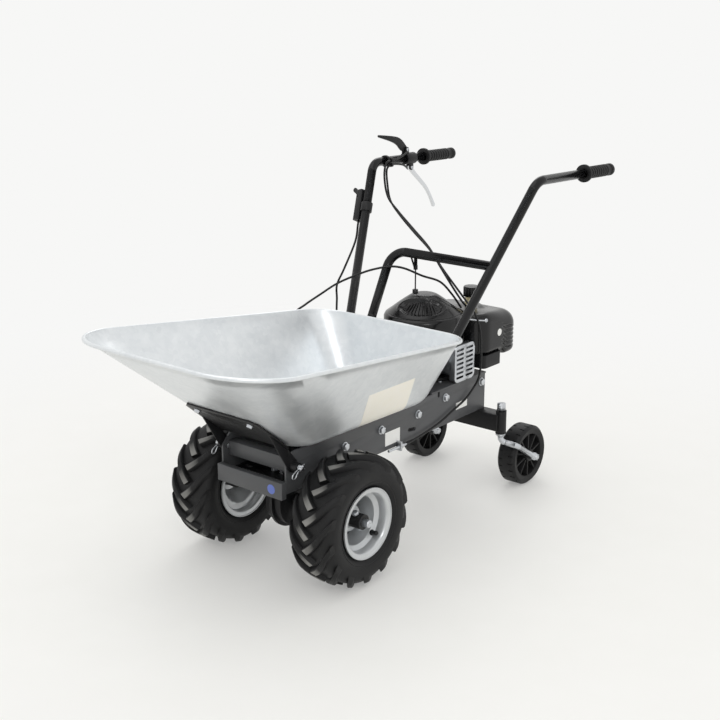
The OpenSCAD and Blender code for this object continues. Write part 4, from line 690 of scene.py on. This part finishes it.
gloss = add(tree, "ShaderNodeMapRange", {"Value": tone, "To Min": 0.24, "To Max": 0.44})
bump = add(
    tree, "ShaderNodeBump", {"Height": waves.outputs["Fac"], "Strength": 0.3, "Distance": 0.002},
)
tree.links.new(tint.outputs[2], shader.inputs["Base Color"])
tree.links.new(gloss.outputs["Result"], shader.inputs["Roughness"])
tree.links.new(bump.outputs["Normal"], shader.inputs["Normal"])
sheet_t, bead_d, fillet_r = 2.0, 10.0, 44.0
floor_z, rim_low, rim_rise, rim_front, rim_rear = 342.3, 525, 100, 436, 430
arc_steps, side_steps, fillet_steps, wall_steps = 20, 14, 10, 8


def rounded_outline(front, rear, front_w, rear_w, front_r, rear_r):
    half_f, half_r = front_w / 2, rear_w / 2
    corners = [
        Vector(p) for p in ((half_f, -front), (half_r, rear), (-half_r, rear), (-half_f, -front))
    ]
    radii = (front_r, rear_r, rear_r, front_r)
    arcs = []
    for i, corner in enumerate(corners):
        a = (corner - corners[i - 1]).normalized()
        b = (corners[(i + 1) % 4] - corner).normalized()
        turn = math.acos(a.dot(b))
        n = (b - a * a.dot(b)).normalized()
        centre = corner - a * radii[i] * math.tan(turn / 2) + n * radii[i]
        steps = [turn * s / arc_steps for s in range(arc_steps + 1)]
        arcs.append([centre + radii[i] * (a * math.sin(t) - n * math.cos(t)) for t in steps])
    line = []
    for i, arc in enumerate(arcs):
        end = arcs[(i + 1) % 4][0]
        line += arc + [arc[-1].lerp(end, s / side_steps) for s in range(1, side_steps)]
    return line


def fillet(foot, inwards, up, r, t):
    return foot + inwards * r * (1 - t) ** 2 + up * r * t * t


floor_line = [Vector((p.x, p.y, floor_z)) for p in rounded_outline(95, 396, 262, 300, 70, 62)]
rim_line = []
for p in rounded_outline(rim_front, rim_rear, 632, 492, 150, 88):
    rim_z = rim_low + rim_rise * (rim_rear - p.y) / (rim_front + rim_rear)
    rim_line.append(Vector((p.x, p.y, rim_z)))
verts, faces, wall_lines = [], [], []
for i, (foot, rim) in enumerate(zip(floor_line, rim_line)):
    edge_run = floor_line[(i + 1) % len(floor_line)] - floor_line[i - 1]
    inwards = Vector((-edge_run.y, edge_run.x, 0)).normalized()
    up = (rim - foot).normalized()
    out = Vector((up.x, up.y, 0)).normalized()
    slope = Vector((up.x, up.y)).length
    foot_out = foot + out * sheet_t * (1 - slope) / up.z - Vector((0, 0, sheet_t))
    rim_out = rim + out * sheet_t / up.z
    bead = rim + out * bead_d / 2
    fillet_shares = [k / fillet_steps for k in range(fillet_steps + 1)]
    section = [fillet(foot, inwards, up, fillet_r, t) for t in fillet_shares]
    section += [section[-1].lerp(rim, k / wall_steps) for k in range(1, wall_steps)]
    for a in range(180, -91, -18):
        turn = math.radians(a)
        section.append(bead + bead_d / 2 * (out * math.cos(turn) + Vector((0, 0, math.sin(turn)))))
    outside = [fillet(foot_out, inwards, up, fillet_r + sheet_t, t) for t in fillet_shares[::-1]]
    under = rim_out - up * bead_d * 0.8
    section += [under.lerp(outside[0], k / wall_steps) for k in range(wall_steps)] + outside
    rising = [outside[0].lerp(under, k / wall_steps) for k in range(1, wall_steps + 1)]
    wall_lines.append(outside[::-1] + rising)
    verts += [spot(*p) for p in section]
deep, around = len(section), len(floor_line)
for i in range(around):
    for k in range(deep - 1):
        a, b = i * deep + k, (i + 1) % around * deep + k
        faces.append((a, a + 1, b + 1, b))
faces.append(tuple(i * deep for i in range(around))[::-1])
faces.append(tuple(i * deep + deep - 1 for i in range(around)))
tray = new_piece("tray_sheet", verts, faces, galvanised, smooth_angle=60)
build = bmesh.new()
build.from_mesh(tray.data)
bmesh.ops.recalc_face_normals(build, faces=build.faces)
build.to_mesh(tray.data)
build.free()
stand_for(tray, "tray_pan")

# Drive wheels: pressed steel rims in silver paint, bolted to keyed steel hubs.
# The paint holds fine metal flake, about 2 mm as drawn, over clouds some 50 mm wide.
rim_paint, tree, shader = new_surface(
    "silver_wheel_paint", metallic=0.55, ior=1.5, coat_weight=0.3, roughness=0.3,
)
place = add(tree, "ShaderNodeTexCoord").outputs["Object"]
flake = add(tree, "ShaderNodeTexNoise", {"Vector": place, "Scale": 500, "Detail": 2})
cloud = add(tree, "ShaderNodeTexNoise", {"Vector": place, "Scale": 20, "Detail": 4})
tone = add(
    tree, "ShaderNodeMix",
    {"Factor": 0.35, "A": cloud.outputs["Fac"], "B": flake.outputs["Fac"]}, data_type="FLOAT",
)
tint = add(
    tree, "ShaderNodeMix",
    {"Factor": tone.outputs["Result"], 6: rgb("#b4b7b9"), 7: rgb("#d8dadc")}, data_type="RGBA",
)
tree.links.new(tint.outputs[2], shader.inputs["Base Color"])
dress(rim_paint, "rim_left", "rim_right", ease=0.0006)

# Drive tyres: moulded rubber on a round casing, with bars that meet in arrows.
# The bars are set round the casing by one node tree, one row for each half of the tread.
# The outer millimetre or so of the bars is painted pale, a painted highlight in patches that follow
# the dust.
wheel_x, axle_z, lug_highlight_start, lug_highlight_full = 202, 165, 0.1636, 0.1649
tyre_rubber, tree, shader = new_surface("tyre_rubber", ior=1.5, specular_ior_level=0.3)
place = add(tree, "ShaderNodeTexCoord").outputs["Object"]
grain = add(tree, "ShaderNodeTexNoise", {"Vector": place, "Scale": 220, "Detail": 4})
dust_and_highlight = add(tree, "ShaderNodeTexNoise", {"Vector": place, "Scale": 14, "Detail": 6}).outputs["Fac"]
tint = add(
    tree, "ShaderNodeMix", {"Factor": dust_and_highlight, 6: rgb("#0f0f10"), 7: rgb("#1c1c1d")}, data_type="RGBA",
)
gloss = add(tree, "ShaderNodeMapRange", {"Value": dust_and_highlight, "To Min": 0.42, "To Max": 0.66})
bump = add(
    tree, "ShaderNodeBump", {"Height": grain.outputs["Fac"], "Strength": 0.35, "Distance": 0.0006},
)
from_axle = add(
    tree, "ShaderNodeVectorMath", {0: place, 1: spot(0, 0, axle_z)}, operation="SUBTRACT",
)
flat = add(
    tree, "ShaderNodeVectorMath", {0: from_axle.outputs[0], 1: (0, 1, 1)}, operation="MULTIPLY",
)
reach_out = add(tree, "ShaderNodeVectorMath", {0: flat.outputs[0]}, operation="LENGTH")
# Painted highlight: beyond this radius the bars are mixed toward pale grey, patchy with the dust
# noise.
highlight_reach = add(
    tree, "ShaderNodeMapRange",
    {"Value": reach_out.outputs["Value"], "From Min": lug_highlight_start, "From Max": lug_highlight_full},
)
highlight_patches = add(
    tree, "ShaderNodeMapRange",
    {"Value": dust_and_highlight, "From Min": 0.3, "From Max": 0.55, "To Min": 0.55, "To Max": 1.0},
)
painted_highlight = add(
    tree, "ShaderNodeMath",
    {0: highlight_reach.outputs["Result"], 1: highlight_patches.outputs["Result"]}, operation="MULTIPLY",
)
highlighted_rubber = add(
    tree, "ShaderNodeMix",
    {"Factor": painted_highlight.outputs[0], 6: tint.outputs[2], 7: rgb("#8a8986")}, data_type="RGBA",
)
tree.links.new(highlighted_rubber.outputs[2], shader.inputs["Base Color"])
tree.links.new(gloss.outputs["Result"], shader.inputs["Roughness"])
tree.links.new(bump.outputs["Normal"], shader.inputs["Normal"])

ring_tree = bpy.data.node_groups.new("set_round_an_axle", "GeometryNodeTree")
sockets = ring_tree.interface
sockets.new_socket("Geometry", in_out="INPUT", socket_type="NodeSocketGeometry")
ring_count = sockets.new_socket("Count", in_out="INPUT", socket_type="NodeSocketInt")
ring_phase = sockets.new_socket("Phase", in_out="INPUT", socket_type="NodeSocketFloat")
ring_finish = sockets.new_socket("Finish", in_out="INPUT", socket_type="NodeSocketMaterial")
sockets.new_socket("Geometry", in_out="OUTPUT", socket_type="NodeSocketGeometry")
given = add(ring_tree, "NodeGroupInput").outputs
line = add(ring_tree, "GeometryNodeMeshLine", {"Count": given["Count"], "Offset": (0, 0, 0)})
index = add(ring_tree, "GeometryNodeInputIndex")
share = add(ring_tree, "ShaderNodeMath", {0: index.outputs[0], 1: given["Phase"]}, operation="ADD")
turns = add(
    ring_tree, "ShaderNodeMath", {0: share.outputs[0], 1: given["Count"]}, operation="DIVIDE",
)
angle = add(
    ring_tree, "ShaderNodeMath", {0: turns.outputs[0], 1: 2 * math.pi}, operation="MULTIPLY",
)
spin = add(ring_tree, "ShaderNodeCombineXYZ", {"Z": angle.outputs[0]})
placed = add(
    ring_tree, "GeometryNodeInstanceOnPoints",
    {"Points": line.outputs["Mesh"], "Instance": given["Geometry"], "Rotation": spin.outputs[0]},
)
real = add(ring_tree, "GeometryNodeRealizeInstances", {"Geometry": placed.outputs[0]})
coated = add(
    ring_tree, "GeometryNodeSetMaterial",
    {"Geometry": real.outputs[0], "Material": given["Finish"]},
)
add(ring_tree, "NodeGroupOutput", {"Geometry": coated.outputs[0]})


def ring_of(verts, faces, count, phase, material):
    single = new_piece("single", verts, faces, material)
    nodes = single.modifiers.new("ring", "NODES")
    nodes.node_group = ring_tree
    nodes[ring_count.identifier] = count
    nodes[ring_phase.identifier] = phase
    nodes[ring_finish.identifier] = material
    shaped = single.evaluated_get(bpy.context.evaluated_depsgraph_get())
    mesh = bpy.data.meshes.new_from_object(shaped)
    bpy.data.objects.remove(single)
    return mesh


tyre_r, tread_r, half_w, bead_r, clear_r = 165.0, 152.0, 63.5, 76.3, 91.0
bead_half = half_w - 14
crown = [
    (bead_r, bead_half), (clear_r, bead_half + 2.5), (clear_r + 5, half_w - 6.5),
    (clear_r + 12, half_w - 2), (clear_r + 14, half_w - 2.8), (clear_r + 16, half_w - 1.5),
    ((clear_r + tread_r) / 2 + 6, half_w), (tread_r - 14, half_w - 3), (tread_r - 4, half_w - 12),
    (tread_r - 1, half_w - 22), (tread_r, half_w - 34),
]
inner = [
    (tread_r - 8, half_w - 32), (tread_r - 13, half_w - 16), (tread_r - 21, half_w - 10),
    (clear_r + 8, half_w - 10), (clear_r - 2, bead_half - 7), (bead_r, bead_half - 7),
]
profile = crown + [(r, -z) for r, z in crown[::-1]] + [(r, -z) for r, z in inner[::-1]] + inner
profile = [(r / 1000, z / 1000) for r, z in profile]
casing_segments = 128
casing_verts = lathe(profile, casing_segments)
casing_faces = wrap(casing_segments, len(profile), shut=True)

lug_count, lug_rings, lug_sweep, lug_w, lug_slant = 14, 14, 31.0, 20.0, 0.8
lug_start, lug_bow, lug_crown, shoulder = -5, 4, 2.4, 0.6
lug_verts = []
for i in range(lug_rings + 1):
    t = i / lug_rings
    drop = max(0.0, (t - shoulder) / 0.4) ** 2
    z = lug_start + (half_w + 4) * t
    bow = math.radians(lug_sweep * t - lug_bow * math.sin(math.pi * t))
    top = tyre_r - lug_crown * min(t / shoulder, 1) ** 2
    top -= (tyre_r - tread_r + 3.6) * drop * 0.9
    low = tread_r - 5 - 24 * drop
    flank = [
        (lug_w / 2 + 3, low), (lug_w / 2 + 0.4, top - 4),
        (lug_w / 2 - 1.4, top - 1.2), (lug_w / 2 - 3.2, top),
    ]
    slant = lug_slant * (1 - t)
    for off, r in [(-off, r) for off, r in flank] + flank[::-1]:
        turn = bow + off * (1 - slant / 2) / r
        x, y = r * math.cos(turn), r * math.sin(turn)
        lug_verts.append(Vector((x, y, z - off * slant)) / 1000)
lug_faces = stack(lug_rings + 1, 2 * len(flank))
for side, node in ((1, "tyre_left"), (-1, "tyre_right")):
    build = bmesh.new()
    build.from_mesh(new_piece("casing_mesh", casing_verts, casing_faces, tyre_rubber).data)
    bpy.data.objects.remove(bpy.data.objects["casing_mesh"])
    for half, phase in ((1, 0.0), (-1, 0.5)):
        row = [Vector((v.x, v.y, v.z * half)) for v in lug_verts]
        row_faces = [face[::-half] for face in lug_faces]
        build.from_mesh(ring_of(row, row_faces, lug_count, phase, tyre_rubber))
    for v in build.verts:
        x, y, z = v.co
        v.co = Vector((side * (wheel_x / 1000 + z), -y - plan_middle / 1000, axle_z / 1000 - x))
    # The shells all face one way, so the sign of the volume tells whether the mirror turned them
    if build.calc_volume(signed=True) < 0:
        bmesh.ops.reverse_faces(build, faces=build.faces)
    tyre = new_piece(node + "_rubber", [(0, 0, 0)], [], tyre_rubber)
    build.to_mesh(tyre.data)
    build.free()
    tyre.data.shade_smooth()
    tyre.data.set_sharp_from_angle(angle=math.radians(42))
    stand_for(tyre, node)

# Tyre valves: snap-in rubber stems through the slope of each rim, with a plastic dust cap.
# The stem is moulded with a foot wider than its hole, and leans out of the wheel to be reached.
valve_r, valve_z, valve_turn = 68.8, 29.2, math.radians(-46)
lean_out, lean_in = 0.894, 0.447
stem_profile = [
    (7.5, -1.5), (7.5, 0.5), (6.4, 2.5), (5.6, 5), (5.2, 10), (5.0, 13), (4.6, 13.2), (4.6, 14),
    (5.4, 14.2), (5.5, 22), (4.8, 23.4), (0, 24),
]
stems = []
for side in (1, -1):
    radial = Vector((0, -math.sin(valve_turn), -math.cos(valve_turn)))
    foot = spot(side * (wheel_x + valve_z), 0, axle_z) + radial * valve_r / 1000
    lean = (Vector((side * lean_out, 0, 0)) - radial * lean_in).normalized()
    stems.append(turned(stem_profile, foot, lean))
join("valve_stems", stems, moulded_rubber, "drive_wheels")

# Axle ends: the turned ends of the axle, zinc plated, that stand out of the hubs.
# Each has a chamfer and a centre hole from the lathe.
hub_face_x = 244
end_profile = [(9.8, -6), (9.8, 19), (8.6, 20.4), (3.2, 20.4), (0, 17)]
ends = [
    turned(end_profile, spot(side * hub_face_x, 0, axle_z), Vector((side, 0, 0)), 40)
    for side in (1, -1)
]
join("axle_ends", ends, zinc_plate, "drive_wheels")

# Pivot screws of the levers and small screws of the engine: zinc-plated pan heads.
# Each is turned and pressed from wire, and drawn up against the piece that it holds.
# A bent wire rod runs from the tank's screw to the governor.
pan_head = [(5.2, 0), (5.4, 0.6), (5.2, 1.8), (4.2, 2.8), (2.4, 3.2), (2.2, 1.6), (0, 1.5)]
lever_x, perch_half, clutch_pivot, stop_pivot = -274, 7.5, (852, 871.8), (830, 925.8)
screw_seats = [
    (spot(lever_x + side * perch_half, *lever_pivot), Vector((side, 0, 0)))
    for lever_pivot in (clutch_pivot, stop_pivot) for side in (1, -1)
]
screw_seats.append((spot(66, 552, 345), Vector((0, 0, 1))))
screw_seats.append((spot(126.8, 679.2, 504), Vector((0.896, -0.442, 0))))
screws = [turned(pan_head, *seat) for seat in screw_seats]
join("pan_head_screws", screws, zinc_plate, "chassis")
rod_r, rod_sides = 0.0021, 10
rod_route = ((128.6, 679, 504), (113, 659.5, 506), (99, 645, 509), (83.5, 632.5, 511))
rod_line = smooth_line([spot(*p) for p in rod_route], 6)
join("governor_rod", [tube(rod_line, rod_r, rod_sides)], zinc_plate, "chassis")

# Blank plates: plain film patches with nothing on them, stuck to the tray, the frame and the tank.
# Matt vinyl film, 0.3 mm thick, a little uneven in tone.
film_t, glue_gap = 0.0003, 0.00004


def film(rows, normal):
    wide, high = len(rows[0]), len(rows)
    below = high * wide
    verts = [p + normal * lift for lift in (film_t, glue_gap) for row in rows for p in row]
    faces = []
    for i in range(high - 1):
        for k in range(wide - 1):
            a = i * wide + k
            face = (a, a + 1, a + wide + 1, a + wide)
            faces += [face, tuple(below + n for n in face[::-1])]
    rim = list(range(wide)) + [i * wide + wide - 1 for i in range(1, high)]
    rim += [(high - 1) * wide + k for k in range(wide - 2, -1, -1)]
    rim += [i * wide for i in range(high - 2, 0, -1)]
    for a, b in zip(rim, rim[1:] + rim[:1]):
        faces.append((b, a, below + a, below + b))
    return verts, faces


cream_vinyl, white_vinyl, blue_vinyl = [
    mottled(name, 40, 3, dull, bright, ior=1.5, roughness=0.45)
    for name, dull, bright in (
        ("cream_vinyl", "#fdf8ea", "#fffcf4"),
        ("white_vinyl", "#eeeeec", "#f8f8f6"),
        ("blue_vinyl", "#5468b4", "#6a7cc2"),
    )
]


def along(line, share):
    lengths = [(q - p).length for p, q in zip(line, line[1:])]
    left = share * sum(lengths)
    for p, q, length in zip(line, line[1:], lengths):
        if left <= length:
            return p.lerp(q, left / length)
        left -= length
    return line[-1]


# A place on the tray's left wall: s from front to rear past the first corner, t from floor to rim
def wall_spot(s, t):
    at = arc_steps + s * side_steps
    i = int(at)
    return spot(*along(wall_lines[i], t).lerp(along(wall_lines[i + 1], t), at - i))


low_front, low_rear = Vector((0.389, 0.15)), Vector((0.85, 0.19))
high_front, high_rear = Vector((0.435, 0.585)), Vector((0.798, 0.66))
patch_rows, patch_columns = 12, 10
grid = []
for i in range(patch_rows + 1):
    left = low_front.lerp(high_front, i / patch_rows)
    right = low_rear.lerp(high_rear, i / patch_rows)
    shares = [k / patch_columns for k in range(patch_columns + 1)]
    grid.append([wall_spot(*left.lerp(right, share)) for share in shares])
wall_out = (grid[6][10] - grid[6][0]).cross(grid[12][5] - grid[2][5]).normalized()
join("tray_patch", [film(grid, wall_out)], cream_vinyl, "tray")

plate_x = 107
plate_patches = []
for y0, y1, z0, z1 in ((257, 319, 250, 287), (572, 625, 267, 287)):
    rows = [[spot(plate_x, y, z) for y in (y0, (y0 + y1) / 2, y1)] for z in (z0, z1)]
    plate_patches.append(film(rows, Vector((1, 0, 0))))
join("frame_patches", plate_patches, white_vinyl, "chassis")
dot_profile, small_share = [(12, 0.05), (12, 0.25), (11.8, 0.3), (0, 0.3)], 0.85
front_dot = turned(dot_profile, spot(72.5, -136, 248), Vector((0, -1, 0)), 40)
join("front_dot", [front_dot], blue_vinyl, "chassis")
small_profile = [(r * small_share, z) for r, z in dot_profile]
tank_dot = turned(small_profile, spot(132, 741.5, 458.3), Vector((1, 0, 0)), 40)
join("tank_dot", [tank_dot], white_vinyl, "chassis")

low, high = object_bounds()
